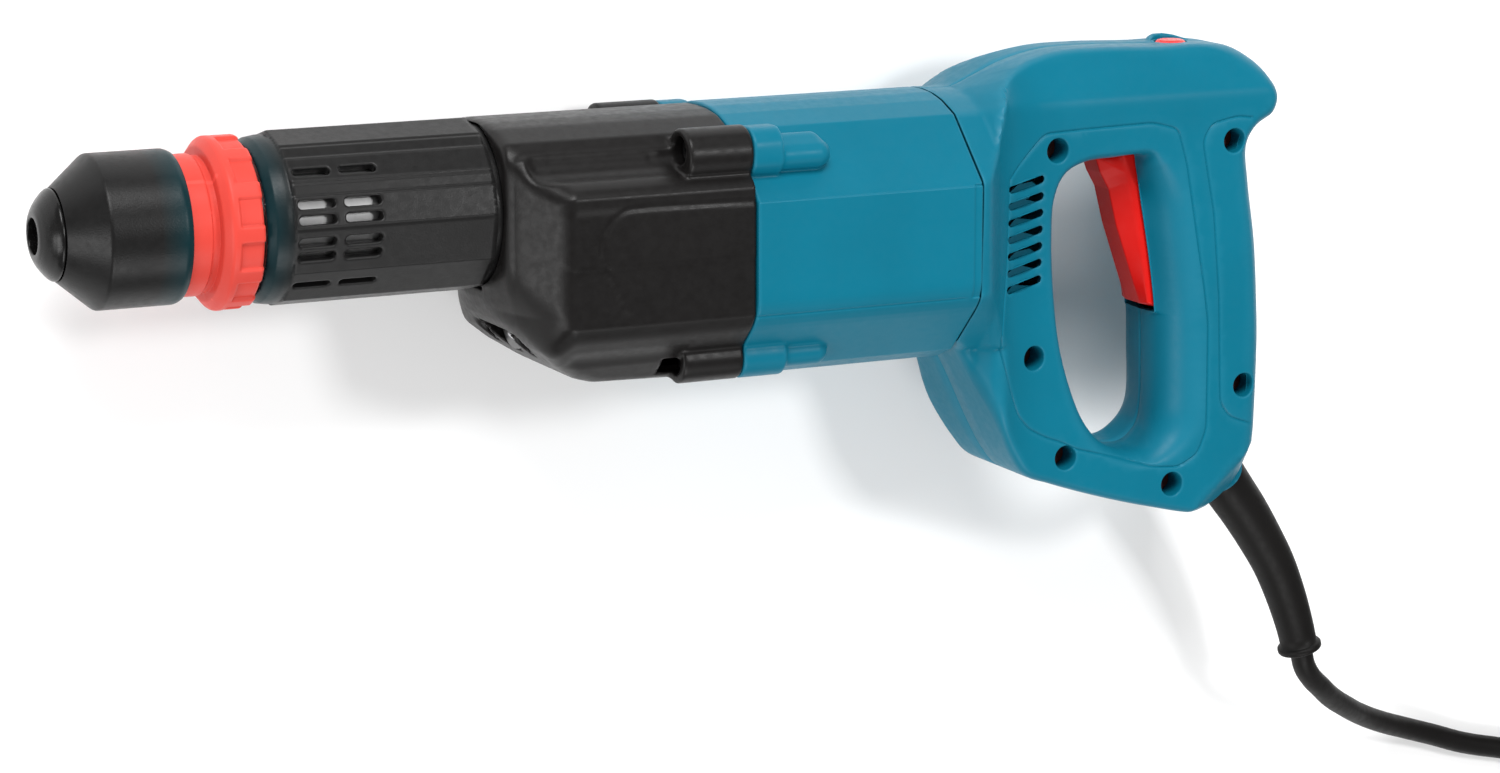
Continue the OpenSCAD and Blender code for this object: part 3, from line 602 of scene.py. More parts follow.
sp = cd.splines.new("BEZIER")
sp.bezier_points.add(len(cord_path) - 1)
for bp, p in zip(sp.bezier_points, cord_path):
    bp.co = Vector(put(p))
    bp.handle_left_type = bp.handle_right_type = "AUTO"
cd.bevel_depth = CORD_D / 2000
cd.bevel_resolution = 6
cd.resolution_u = 5
cd.use_fill_caps = True
cord_ob = bpy.data.objects.new("mains_cord", cd)
scene.collection.objects.link(cord_ob)
cd.materials.append(rubber)
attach(cord_ob, "root")
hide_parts("cord", "cord_coil")


def sweep(name, path, radii, body, mat, sides=32, caps=True):
    """Round tube of changing radius along a path."""
    P = np.asarray(path, float)
    n = len(P)
    T = np.gradient(P, axis=0)
    T /= np.linalg.norm(T, axis=1)[:, None]
    up = np.array([0, 0, 1.0])
    V = []
    for i in range(n):
        a = np.cross(T[i], up)
        if np.linalg.norm(a) < 1e-3:
            a = np.array([1.0, 0, 0])
        a /= np.linalg.norm(a)
        b = np.cross(T[i], a)
        th = np.linspace(0, 2 * np.pi, sides, endpoint=False)
        V.append(P[i] + radii[i] * (np.cos(th)[:, None] * a + np.sin(th)[:, None] * b))
    V = np.concatenate(V)
    F = []
    for i in range(n - 1):
        for j in range(sides):
            k = (j + 1) % sides
            F.append((i * sides + j, i * sides + k, (i + 1) * sides + k, (i + 1) * sides + j))
    if caps:
        F.append(tuple(range(sides)))
        F.append(tuple((n - 1) * sides + j for j in range(sides)))
    ob = new_obj(name, V, F, body, mat)
    fix_normals(ob)
    return ob


# strain relief: tapered sleeve with a collar at its mouth
gp = np.array([(389, -99, 0), (394, -106, 0), (399, -113, 0), (405, -121, 0), (411, -130, 0), (417, -140, 0), (422, -151, 0), (426, -162, 0), (428, -169, 0)], float)
gr = np.array([8.3, 8.3, 8.2, 7.9, 7.5, 7.1, 6.7, 6.3, 6.1])
gs = catmull(gp, 4)
gq = np.interp(np.linspace(0, 8, len(gs)), np.arange(9), gr)
end = gs[-1]
dirv = (gs[-1] - gs[-3]) / np.linalg.norm(gs[-1] - gs[-3])
extra = [(-0.4, 6.15), (-0.2, 6.6), (0.0, 7.1), (0.35, 7.35), (0.9, 7.4), (1.6, 7.35), (2.0, 7.1), (2.3, 6.5), (2.35, 5.2), (2.2, 3.9)]
path = list(gs[:-2]) + [end + dirv * e[0] for e in extra]
rad = list(gq[:-2]) + [e[1] for e in extra]
guard = sweep("strain_relief", path, rad, "root", rubber, 40)
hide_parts("cord_guard")

# generic two-pin plug
PX, PZ = 650.0, -28.6


def plug_section(y):
    # half width, half height, corner radius at each station
    t = (y + 150) / 48.0
    pts = [(0.0, 5.2, 5.2), (0.10, 5.6, 5.6), (0.27, 6.6, 6.6), (0.285, 9.0, 8.0), (0.31, 11.6, 9.6), (0.36, 14.4, 11.2), (0.45, 16.4, 12.3),
           (0.6, 17.4, 12.8), (0.8, 17.6, 12.9), (0.93, 17.6, 12.9), (0.975, 17.3, 12.6), (1.0, 16.4, 11.8)]
    a = np.array(pts)
    return np.interp(t, a[:, 0], a[:, 1]), np.interp(t, a[:, 0], a[:, 2])


ys = [-150, -149, -147, -145, -143, -141, -139, -137.2, -136.6, -136, -135.2, -134, -132.5, -131, -129, -127, -125, -123.6, -123.2, -122.4, -122.0,
      -121.6, -120.8, -120.4, -119.0, -118.6, -117.8, -117.4, -117.0, -116.2, -115.8, -112, -108, -105.5, -104, -103, -102.3]
V, F = [], []
NS = 48
for k, y in enumerate(ys):
    w, h = plug_section(y)
    rib = 0.0
    for c in (-122.2, -117.6):
        rib = max(rib, 0.8 * math.exp(-((y - c) / 0.55) ** 2))
    e = 2.0 if y < -137 else 3.2
    for j in range(NS):
        t = 2 * math.pi * j / NS
        c, s = math.cos(t), math.sin(t)
        q = (abs(c) ** e + abs(s) ** e) ** (-1 / e)
        V.append((PX + (w - rib) * q * c, y, PZ + (h - rib) * q * s))
    if k:
        for j in range(NS):
            F.append(((k - 1) * NS + j, (k - 1) * NS + (j + 1) % NS, k * NS + (j + 1) % NS, k * NS + j))
# face plate slightly set back
for s, y in ((0.93, -102.2), (0.9, -102.5), (0.0, -102.5)):
    w, h = plug_section(-102.3)
    base = len(V)
    if s == 0.0:
        V.append((PX, y, PZ))
        for j in range(NS):
            F.append((base - NS + j, base - NS + (j + 1) % NS, base))
        break
    for j in range(NS):
        t = 2 * math.pi * j / NS
        c, sn = math.cos(t), math.sin(t)
        q = (abs(c) ** 3.2 + abs(sn) ** 3.2) ** (-1 / 3.2)
        V.append((PX + w * s * q * c, y, PZ + h * s * q * sn))
    for j in range(NS):
        F.append((base - NS + j, base - NS + (j + 1) % NS, base + (j + 1) % NS, base + j))
F.append(tuple(range(NS)))
plug = new_obj("plug", V, F, "root", rubber)
fix_normals(plug)
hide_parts("plug_body")
pv, pf = [], []
for s in (-9.5, 9.5):
    prof = [(-104.5, 2.4), (-102.5, 2.4), (-94, 2.4), (-93.6, 2.28), (-93.2, 2.4), (-86, 2.4), (-84.6, 2.36), (-83.4, 2.1), (-82.5, 1.6), (-81.95, 0.9), (-81.8, 0.05)]
    b0 = len(pv)
    for k, (y, r) in enumerate(prof):
        for j in range(24):
            t = 2 * math.pi * j / 24
            pv.append((PX + s + r * math.cos(t), y, PZ + r * math.sin(t)))
        if k:
            for j in range(24):
                pf.append((b0 + (k - 1) * 24 + j, b0 + (k - 1) * 24 + (j + 1) % 24, b0 + k * 24 + (j + 1) % 24, b0 + k * 24 + j))
    pf.append(tuple(b0 + j for j in range(24)))
    pf.append(tuple(b0 + (len(prof) - 1) * 24 + j for j in range(24)))
pins = new_obj("plug_contact_pins", pv, pf, "root", pin_nickel)
fix_normals(pins)
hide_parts("plug_pins")

# ---------------------------------------------------------------- chuck: cap, sleeve, change ring
cap_prof = round_profile([(2.9, 5.25), (0.0, 5.25), (0.15, 7.0), (1.1, 9.0), (2.5, 10.9), (4.1, 12.6), (5.15, 13.3), (5.85, 13.2), (5.9, 12.2),
                          (14, 12.2), (14, 10.25), (4.5, 10.25), (2.9, 8.7)],
                         [0.1, 0.5, 0.6, 0.8, 0.8, 0.5, 0.35, 0.2, 0.1, 0.3, 0.1, 0.2, 0.2], 4, closed=True)
cap_prof = split_long(cap_prof + [cap_prof[0]], 0.35)[:-1]
cap = spin("nose_cap", cap_prof, "chuck", cap_black, n=160, closed=True)
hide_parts("dust_cap")

sl_prof = round_profile([(9, 12.85), (6.3, 12.95), (6.1, 13.5), (16.25, 22.1), (16.9, 22.38), (38.9, 22.4), (40.5, 21.6), (40.6, 20.95), (18, 20.95), (16.5, 19.6), (15.5, 12.85)],
                        [0.1, 0.25, 0.3, 0.5, 0.4, 0.9, 0.5, 0.2, 0.4, 0.4, 0.1], 4, closed=True)
sl_prof = split_long(sl_prof + [sl_prof[0]], 0.5)[:-1]
sleeve = spin("quick_release_sleeve", sl_prof, "sleeve", sleeve_black, n=192, closed=True)
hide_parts("chuck_sleeve")

rg = round_profile([(37.2, 18.65), (37.2, 20.5), (46.3, 20.5), (46.7, 19.8), (48.75, 19.8), (48.95, 22.4), (50.8, 24.7), (51.6, 25.2), (59.9, 25.2), (60.6, 24.6),
                    (60.6, 14.1), (50, 14.1), (50, 18.65)], [0.15, 0.35, 0.3, 0.25, 0.25, 0.5, 0.6, 0.45, 0.4, 0.3, 0.2, 0.2, 0.2], 4, closed=True)
rg = split_long(rg + [rg[0]], 0.42)[:-1]


def ring_radius(th, x, r):
    d = np.abs((np.degrees(th) - 15 + 15) % 30 - 15)
    side = 1 - step01(np.radians(d) * 25.0, 3.95, 4.4)
    front = step01(x, 53.2, 53.65)
    out = step01(r, 22.5, 23.5)
    cut = 0.95 * side * front * out
    # small flats between the pockets break the light as on a moulded ring
    return r - cut


ring = spin("change_ring_shell", rg, "ring", red_ring, n=420, radius=ring_radius, closed=True)
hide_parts("change_ring")

# ---------------------------------------------------------------- barrel cover
flat = 25.3 * math.cos(math.radians(15))


def r12(a):
    return flat / math.cos(math.radians((a % 30) - 15))


cover_pts = []
edges_up = [(1.8, 22.3), (32.2, 51.8), (63.0, 117.0), (128.2, 147.8), (157.7, 178.2)]
angs = []
for a0, a1 in edges_up:
    angs += [(a0 - 0.25, 0.0), (a0 + 0.35, 0.42)]
    for v in range(int(a0 // 30) * 30 + 30, int(a1) + 1, 30):
        if a0 < v < a1:
            angs.append((float(v), 0.42))
    angs += [(a1 - 0.35, 0.42), (a1 + 0.25, 0.0)]
for v in range(0, 360, 30):
    if not any(a0 - 0.5 < v < a1 + 0.5 for a0, a1 in edges_up):
        angs.append((float(v), 0.0))
angs = sorted(set((round(a % 360, 3), h) for a, h in angs))
for a, h in angs:
    r = r12(a) + h
    cover_pts.append((r * math.sin(math.radians(a)), r * math.cos(math.radians(a))))  # (y, z)
shoulder = [(61.9, 10), (61.9, 22.1), (62.5, 22.7), (64.4, 24.0), (67.5, 24.45), (69.6, 24.45), (72, 24.4), (72, 10)]
slot_rows = [39.5, 17.2, 6.6, -8.6, -18.8, -43.5]


def f_cover(x, y, z):
    sec = poly2(cover_pts, y, z) - 0.12
    r = np.sqrt(y * y + z * z)
    body = smax(smax(sec, 69.4 - x, 0.6), x - 137.6, 0.5)
    body = np.where(x > 131.2, np.maximum(body, r - 23.55), body)
    sh = poly2(shoulder, x, r) - 0.05
    d = np.minimum(body, np.maximum(sh, x - 72))
    d = smax(d, 21.75 - r, 0.4)
    for m in (0, 180):
        for a in slot_rows:
            t = math.radians(a if m == 0 else 180 - a)
            rad = y * math.sin(t) + z * math.cos(t)
            tan = y * math.cos(t) - z * math.sin(t)
            for x0, x1 in ((71.9, 80.6), (85.9, 94.6)):
                px = np.maximum(np.abs(x - (x0 + x1) / 2) - (x1 - x0) / 2, 0)
                sl = np.sqrt(px * px + tan * tan) - 1.3
                sl = np.maximum(sl, 15 - rad)
                d = smax(d, -sl, 0.45)
    return d


hc = 0.5
P, Q = nets(f_cover, steps((60.8, 70.2, 0.42), (70.2, 97, 0.42), (97, 131, 2.4), (131, 138.6, 0.6)), steps((-27, 27, hc)), steps((-27, 27, hc)))
cover = fast_obj("barrel_cover_shell", P, Q, "root", black_barrel)
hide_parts("barrel_cover")

# ---------------------------------------------------------------- housings
MY = -16.0
quad = [(41.6, 17.2), (22.3, 36.5), (14, 39.9), (7, 41.5)]


def ring4(k=1.0):
    p = [(MY + k * b, k * a) for a, b in quad] + [(MY + k * 41.9, 0)]
    p += [(MY + k * b, -k * a) for a, b in reversed(quad)]
    p += [(MY - k * b, -k * a) for a, b in quad] + [(MY - k * 41.9, 0)]
    p += [(MY - k * b, k * a) for a, b in reversed(quad)]
    return p


SEC = ring4()


def shrink(P, d):
    P = np.asarray(P, float)
    A = 0.5 * sum(P[i][0] * P[(i + 1) % len(P)][1] - P[(i + 1) % len(P)][0] * P[i][1] for i in range(len(P)))
    return inset_poly(P if A > 0 else P[::-1], d)


SEC2, SEC1, SECIN = shrink(SEC, 2.2), shrink(SEC, 1.0), ring4(1 - 3.2 / 41.6)
side_prof = [(131.9, 25), (134, 25.9), (215, 25.9), (215, -58.4), (207, -57.9), (190, -54.8), (163, -53.4), (156, -50.8), (148, -45.6), (142, -40.2), (137, -34), (133.5, -28), (131.9, -23)]
SIDE2 = shrink(side_prof, 2.0)
plan_prof = [(131.9, 0), (131.9, 25.5), (135, 27.5), (148, 41.6), (215, 41.6), (215, 0)]
PLAN3 = shrink([(131.9, -30), (131.9, 25.5), (135, 27.5), (148, 41.6), (215, 41.6), (215, -30)], 3.5)
side_in = [(153.2, 22.5), (215, 22.5), (215, -54.6), (163, -51), (157, -48.6), (153.2, -45.6)]
plan_in = [(153.2, -30), (153.2, 35), (160, 38.4), (215, 38.4), (215, -30)]
panel_line = [(207, 1.3), (168.5, 1.9), (164.5, 1.3), (160.6, -1.2), (158.0, -4.6), (157.2, -8.5), (158.2, -13.5), (160.9, -18.9), (163.4, -23.6), (165.4, -28.5)]
panel_line = catmull(panel_line, 5)


def rod(x, y, z, x0, x1, r, cy, cz, k=0.0):
    d = np.sqrt((y - cy) ** 2 + (z - cz) ** 2) - r
    return smax(smax(d, x0 - x, k), x - x1, k)


CHEEK = shrink([(-16, 20), (-16, 41.6), (6.4, 41.6), (8.6, 37.5), (10.6, 34.0), (13.4, 30.6), (17.0, 26.6), (10, 20)], 1.6)


def f_gear(x, y, z):
    a = np.abs(z)
    sec = poly2(SEC2, y, a) - 2.2
    sec = smin(sec, poly2(CHEEK, y, a) - 1.6, 2.0)
    sid = poly2(SIDE2, x, y) - 2.0
    pln = poly2(PLAN3, x, a) - 3.5
    d = smax(smax(sec, sid, 3.0), pln, 5.0)
    # the belly narrows towards the nose
    low_w = 12.5 + 2.7 * (x - 131.9) + 1.5 * (np.maximum(y, -30) + 27.5)
    d = smax(d, (a - low_w) * 0.32, 4.0)
    # screw channels and the round bosses behind them
    up = smax(smax(np.sqrt((y - 17.2) ** 2 + (a - 33.6) ** 2) - 6.9, 139 - x, 3.0), x - 186.6, 0.4)
    d = smax(d, -up, 1.6)
    lo = smax(smax(smax(np.sqrt((y + 49.5) ** 2 + (a - 37) ** 2) - 8.2, 150 - x, 3.0), x - 187.6, 0.4), y + 40.6, 0.8)
    d = smax(d, -lo, 1.4)
    d = smin(d, rod(x, y, a, 186.2, 215, 8.0, 15, 31, 1.0), 1.6)
    d = smin(d, rod(x, y, a, 187.2, 215, 6.8, -47.5, 25, 1.0), 1.4)
    # thin line of the side panel
    g = line2(panel_line, x, y)
    d = d + np.where(a > 39, 0.34 * np.exp(-(g / 0.42) ** 2), 0)
    # hollow inside
    cav = np.maximum(np.maximum(poly2(SECIN, y, a), poly2(side_in, x, y)), poly2(plan_in, x, a))
    r0 = np.sqrt(y * y + z * z)
    cav = np.minimum(cav, np.maximum(r0 - 24.0, x - 160))
    cav = np.minimum(cav, np.maximum(np.maximum(np.maximum(np.abs(z) - 10.7, y), -30 - y), x - 154.5) + np.where(x < 139, 5, 0))
    cav = np.minimum(cav, np.maximum(np.sqrt((y + 34) ** 2 + z * z) - 10.7, np.maximum(139.5 - x, x - 154.5)))
    d = smax(d, -cav, 0.5)
    for rr in (rod(x, y, a, 178, 193, 4.3, 16.5, 31), rod(x, y, a, 182, 194, 3.9, -47.5, 25), rod(x, y, a, 190, 215, 2.2, 16.5, 31),
               rod(x, y, a, 190, 215, 2.2, -47.5, 25), rod(x, y, a, 128, 149, 3.6, -40.5, 13.6), rod(x, y, a, 147, 160, 1.9, -40.5, 13.6)):
        d = smax(d, -rr, 0.5)
    d = smax(d, x - 206.85, 0.9)
    return d


P, Q = nets(f_gear, steps((130.6, 153, 0.7), (153, 184, 0.95), (184, 204, 0.66), (204, 207.6, 0.4)), steps((-59.2, 27.2, 0.74)),
            steps((-42.6, -40.6, 0.3), (-40.6, -24, 0.62), (-24, 24, 1.0), (24, 40.6, 0.62), (40.6, 42.6, 0.3)))
gear_shell = fast_obj("gear_case", P, Q, "root", black)
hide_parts("gear_housing")

# section with the small step where the side panel starts
def low_corner(sz):
    # the lower edge of the flat side is eased
    p0, p1, p2 = np.array([MY - 11.7, 41.6]), np.array([MY - 17.2, 41.6]), np.array([MY - 22.2, 36.6])
    q = [(1 - t) ** 2 * p0 + 2 * t * (1 - t) * p1 + t * t * p2 for t in np.linspace(0, 1, 7)]
    q = [(float(a), float(b) * sz) for a, b in q]
    return q[::-1] if sz > 0 else q


m_sec = low_corner(1) + [(1.0, 41.6), (1.35, 41.1), (20.5, 22.3), (23.9, 14), (25.5, 7), (25.9, 0), (25.5, -7), (23.9, -14), (20.5, -22.3), (1.35, -41.1), (1.0, -41.6)] + low_corner(-1) + [(MY - 36.5, -22.3), (MY - 39.9, -14), (MY - 41.5, -7), (MY - 41.9, 0), (MY - 41.5, 7), (MY - 39.9, 14), (MY - 36.5, 22.3)]


def f_motor(x, y, z):
    a = np.abs(z)
    sec = poly2(shrink(m_sec, 0.35), y, a) - 0.35
    raised = np.where(a > 38.0, 0.45 * step01(x, 279.2, 280.4) * (1 - step01(y, 1.2, 1.8)) * step01(y, -33.6, -33.0), 0)
    d = sec + raised
    low = np.abs(y + 33.3)
    d = d + np.where(a > 39, 0.28 * np.exp(-(low / 0.36) ** 2) * (1 - step01(x, 276, 279)), 0)
    d = smin(d, smax(rod(x, y, a, 200, 216.9, 8.0, 15, 31, 0.8), smax(y - 22.5, a - 38.6, 1.5), 0.8), 1.0)
    tip = np.sqrt(np.maximum(x - 229.2, 0) ** 2 * 0.8 + (y - 13.4) ** 2 + (a - 33.5) ** 2) - 4.4
    d = smin(d, np.maximum(tip, 214 - x), 0.9)
    over = np.sqrt(np.maximum(x - 228.6, 0) ** 2 + (y - 16.3) ** 2 + (a - 31.2) ** 2) - 3.3
    d = smin(d, np.maximum(over, 214 - x), 1.6)
    d = smin(d, rod(x, y, a, 200, 221.6, 6.8, -47.5, 25, 1.2), 1.0)
    tip2 = np.sqrt(np.maximum(x - 232.5, 0) ** 2 + (y + 47.8) ** 2 + (a - 26.5) ** 2) - 4.2
    d = smin(d, np.maximum(tip2, 214 - x), 0.9)
    cav = np.minimum(poly2(SECIN, y, a), 99)
    cav = np.maximum(cav, np.sqrt((y - MY) ** 2 + z * z) - 34.4)
    d = smax(d, -cav, 0.4)
    for rr in (rod(x, y, a, 200, 229, 2.2, 16.5, 31), rod(x, y, a, 200, 229, 2.2, -47.5, 25)):
        d = smax(d, -rr, 0.3)
    d = smax(d, 207.15 - x, 0.9)
    d = smax(d, x - 282.75, 0.8)
    return d


P, Q = nets(f_motor, steps((206.4, 209, 0.33), (209, 238, 0.62), (238, 278, 2.5), (278, 283.6, 0.4)),
            steps((-59.2, -54, 0.6), (-54, -40, 0.6), (-40, -34.2, 0.7), (-34.2, -32.4, 0.2), (-32.4, 0.4, 1.6), (0.4, 2.0, 0.18), (2.0, 27.2, 0.55)),
            steps((-42.6, -40.4, 0.24), (-40.4, -20, 0.6), (-20, 20, 1.0), (20, 40.4, 0.6), (40.4, 42.6, 0.24)))
motor_shell = fast_obj("motor_case", P, Q, "root", teal)
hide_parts("motor_housing")

# ---------------------------------------------------------------- handle halves
H_OUT = [(283.2, 25.9), (293, 25.9), (300, 28.6), (311, 33), (325, 36), (342, 36.4), (362, 35.7), (380, 35.6), (391, 33.8), (399, 28.4), (403, 22), (404, 17.5),
         (402, 12.5), (396, 8.5), (394, 3), (395.5, -8), (398.5, -28), (400, -48), (400.5, -60), (400, -87), (399.5, -96), (398.5, -104.5), (394, -110), (386, -114),
         (376, -115), (357, -111), (339, -106), (321, -100), (311, -96), (305.4, -89.5), (300.3, -80.5), (295.9, -71.5), (291.8, -63), (287.8, -56), (283.2, -50)]
O_ATT = [(0.8, 1.0), (1.4, 2.0)] + [(1.6, 2.5)] * 6 + [(4.5, 7), (5, 8), (5, 8), (5, 8), (5, 8), (5, 9), (7, 12)] + [(8, 14)] * 6 + [(7, 11), (5, 7), (3, 4)] \
    + [(2.5, 3)] * 5 + [(3, 4)] * 5 + [(1.0, 1.2)]
H_IN = [(354, 2.4), (355.5, -2), (357.5, -13), (360, -26), (362, -38), (363.4, -49), (364, -64), (363.8, -82), (361.5, -88.5), (356, -92.5), (348, -92), (341, -88.5),
        (335, -82), (329.5, -71.5), (324.5, -56), (322, -39), (321, -21), (321.8, -9), (325, -2), (332, 1.6), (342, 2.4)]
I_ATT = [(3, 5), (7, 9)] + [(12.5, 17)] * 6 + [(9, 12), (6, 9)] + [(5, 8)] * 3 + [(4.2, 7)] + [(3.7, 6.5)] * 4 + [(3.2, 5.5), (2.8, 4.5), (2.8, 4.5)]
LOCK = (373.0, 5.35)
G_AX = (np.array([389.0, -99.0]), np.array([10.0, -14.0]) / math.hypot(10, 14))


def resample(P, att, closed, fine):
    """Smooth curve through P with its rounding sizes, at even steps (short steps where fine() says so)."""
    K = 16
    C = catmull([(*p, *a) for p, a in zip(P, att)], K, closed)
    if closed:
        C = np.vstack([C, C[:1]])
    out = [C[0]]
    for a, b in zip(C[:-1], C[1:]):
        L = np.linalg.norm(b[:2] - a[:2])
        m = max(1, int(math.ceil(L / 0.1)))
        for i in range(1, m + 1):
            q = a + (b - a) * i / m
            if np.linalg.norm(q[:2] - out[-1][:2]) >= (0.36 if fine(q[0], q[1]) else 0.85):
                out.append(q)
    if closed:
        if np.linalg.norm(out[-1][:2] - out[0][:2]) < 0.3:
            out.pop()
    else:
        if np.linalg.norm(out[-1][:2] - C[-1][:2]) < 0.3:
            out[-1] = C[-1]
        else:
            out.append(C[-1])
    return np.array(out)


def fine_here(x, y):
    return (365.5 < x < 380.5 and y > 30) or (335.5 < x < 340 and 0 < y < 4) or (x > 355 and -53 < y < -47 and x < 370) or (x > 380 and y < -96)


OUTL = resample(H_OUT, O_ATT, False, fine_here)
INL = resample(H_IN, I_ATT, True, fine_here)


def to_curve(P, X, Y, closed):
    """Distance to a sampled curve and the rounding sizes at the nearest place."""
    A = P
    B = np.roll(P, -1, 0) if closed else P[1:]
    A = A if closed else P[:-1]
    d = np.full(X.shape, 1e9)
    rd = np.zeros(X.shape)
    rz = np.zeros(X.shape)
    for s in range(0, len(X), 4000):
        x, y = X[s:s + 4000, None], Y[s:s + 4000, None]
        ab = (B - A)[None, :, :2]
        t = ((x - A[None, :, 0]) * ab[..., 0] + (y - A[None, :, 1]) * ab[..., 1]) / np.maximum((ab ** 2).sum(-1), 1e-12)
        t = np.clip(t, 0, 1)
        dx = x - (A[None, :, 0] + t * ab[..., 0])
        dy = y - (A[None, :, 1] + t * ab[..., 1])
        dd = dx * dx + dy * dy
        k = dd.argmin(1)
        r = np.arange(len(k))
        d[s:s + 4000] = np.sqrt(dd[r, k])
        tt = t[r, k]
        rd[s:s + 4000] = A[k, 2] * (1 - tt) + B[k, 2] * tt
        rz[s:s + 4000] = A[k, 3] * (1 - tt) + B[k, 3] * tt
    return d, rd, rz


def top_lift(x):
    return np.interp(x, [283.2, 293, 300, 311, 325, 342], [0, 0, 2.7, 7.1, 10.1, 10.5])


def sec_z(y):
    h = y - MY
    return np.interp(h, [-41.9, -41.5, -39.9, -36.5, -17.2, 17.2, 36.5, 39.9, 41.5, 41.9], [0, 7, 14, 22.3, 41.6, 41.6, 22.3, 14, 7, 0])


_pl = catmull([(270, 46), (283.2, 41.3), (286.5, 39.6), (291, 34.8), (296, 29.2), (303, 23.9), (311, 21.2), (321, 20.2), (334, 20), (360, 20), (500, 20)], 12)
PLAN_X, PLAN_Z = _pl[:, 0], _pl[:, 1]


def corner_cut(x, y):
    # the long flat that takes off the lower rear corner of each side
    a, b = CUT_LINE
    n = np.array([b[1] - a[1], a[0] - b[0]], float)
    n /= np.linalg.norm(n)
    if n[0] * 1 + n[1] * -1 < 0:
        n = -n
    return np.maximum((x - a[0]) * n[0] + (y - a[1]) * n[1], 0)


CUT_LINE = ((393.7, -95.2), (381.4, -106.2))
G1 = [(301.7, -0.5), (316, 12), (355.3, 13), (364.5, 10.5), (368.1, -1.1), (375.4, -40.8), (377.2, -52.5), (377.4, -87.1), (374.2, -95), (367.2, -98.6), (357.8, -97.7),
      (344.4, -93.4), (328.6, -89), (324.2, -86.6), (318, -84.4), (311.4, -80.9), (306.7, -76), (302.2, -65.4), (298.5, -54.6), (297.4, -48.8), (299.9, -28.5), (301.3, -1.1)]
G2 = [(391.5, 12.6), (386.6, 13.3), (377, 11.4), (373.8, 6.2), (378.5, -17.5), (381.1, -45.1), (382.4, -79.1), (386, -84), (392.3, -86.3)]
G1 = catmull(round_profile(G1, 2.4, 4), 3)
G2 = catmull(round_profile(G2, 2.4, 4), 3)
WELLS = [(320.8, 6.4), (312.9, -58.4), (325.4, -91.6), (364.8, -104), (391.1, -74), (385.5, 5.5)]


def z_top(x, y, left):
    plan = np.interp(x, PLAN_X, PLAN_Z)
    cap = sec_z(y - top_lift(x)) + np.interp(x, [292, 326], [0, 30])
    cap_low = np.maximum(sec_z(y), 20.2) + np.interp(x, [292, 326], [0, 30])
    w = step01(y, -30, -4)
    z = w * smin(plan, cap, 2.2) + (1 - w) * smin(plan, cap_low, 6.0)
    z = smin(z, 20 - 0.571 * (y - 21) + (plan - 20) + np.interp(x, [288, 300], [12, 0]), 1.4)
    z = smin(z, 20 - 0.9 * corner_cut(x, y) + (plan - 20), 0.8) if CUT_LINE else z
    do, rdo, rzo = to_curve(OUTL, x, y, False)
    di, rdi, rzi = to_curve(INL, x, y, True)
    for d, rd, rz in ((do, rdo, rzo), (di, rdi, rzi)):
        t = np.clip(1 - d / rd, 0, 1)
        z = z - rz * (1 - np.sqrt(np.maximum(1 - t * t, 0)))
    # front seam eased
    t = np.clip(1 - (x - 283.2) / 0.5, 0, 1)
    z = z - 0.5 * (1 - np.sqrt(1 - t * t))
    # keep clear of the trigger
    w = step01(y, -52.5, -49.6) * (x > 340) * (x < 377) * (y < 6)
    z = np.where(w > 0, smax(z, 9.25 * w, 0.5), z)
    # swell round the cord
    rel = np.stack([x - G_AX[0][0], y - G_AX[0][1]], -1)
    along = rel @ G_AX[1]
    t = np.abs(rel[..., 0] * G_AX[1][1] - rel[..., 1] * G_AX[1][0])
    col = np.sqrt(np.maximum(9.5 ** 2 - t * t, 0))
    z = np.where((along > 0) & (t < 9.5), smax(z, col, 1.2), z)
    g = np.minimum(line2(G1, x, y, True), line2(G2, x, y))
    z = z - 0.42 * np.exp(-(g / 0.34) ** 2)
    # near the front seam the offset is zero, so no line is cut
    z = np.where(x < 292, z - 0.0, z)
    return np.maximum(z, 0.5), do, rdo, di, rdi


def vent_loops():
    out = []
    for i in range(7):
        cx, cy = 308.6 - 0.12 * i, -3.4 - 5.22 * i
        a = math.radians(9)
        L, R = 7.5 - 1.2, 1.2
        pts = []
        for s in (1, -1):
            for k in range(9):
                t = -math.pi / 2 + math.pi * k / 8
                px, py = s * (L + R * math.cos(t)), s * R * math.sin(t)
                # a slight upward bow
                py += 0.012 * px * px - 0.2
                pts.append((cx + px * math.cos(a) - py * math.sin(a), cy + px * math.sin(a) + py * math.cos(a)))
        out.append(pts)
    return out


VENTS = vent_loops()


def offset_pts(P, dist, closed, inside):
    T = np.roll(P, -1, 0) - np.roll(P, 1, 0) if closed else np.gradient(P, axis=0)
    N = np.stack([-T[:, 1], T[:, 0]], -1)
    N /= np.linalg.norm(N, axis=1)[:, None]
    return P + N * (dist if np.ndim(dist) == 0 else dist[:, None]) * inside


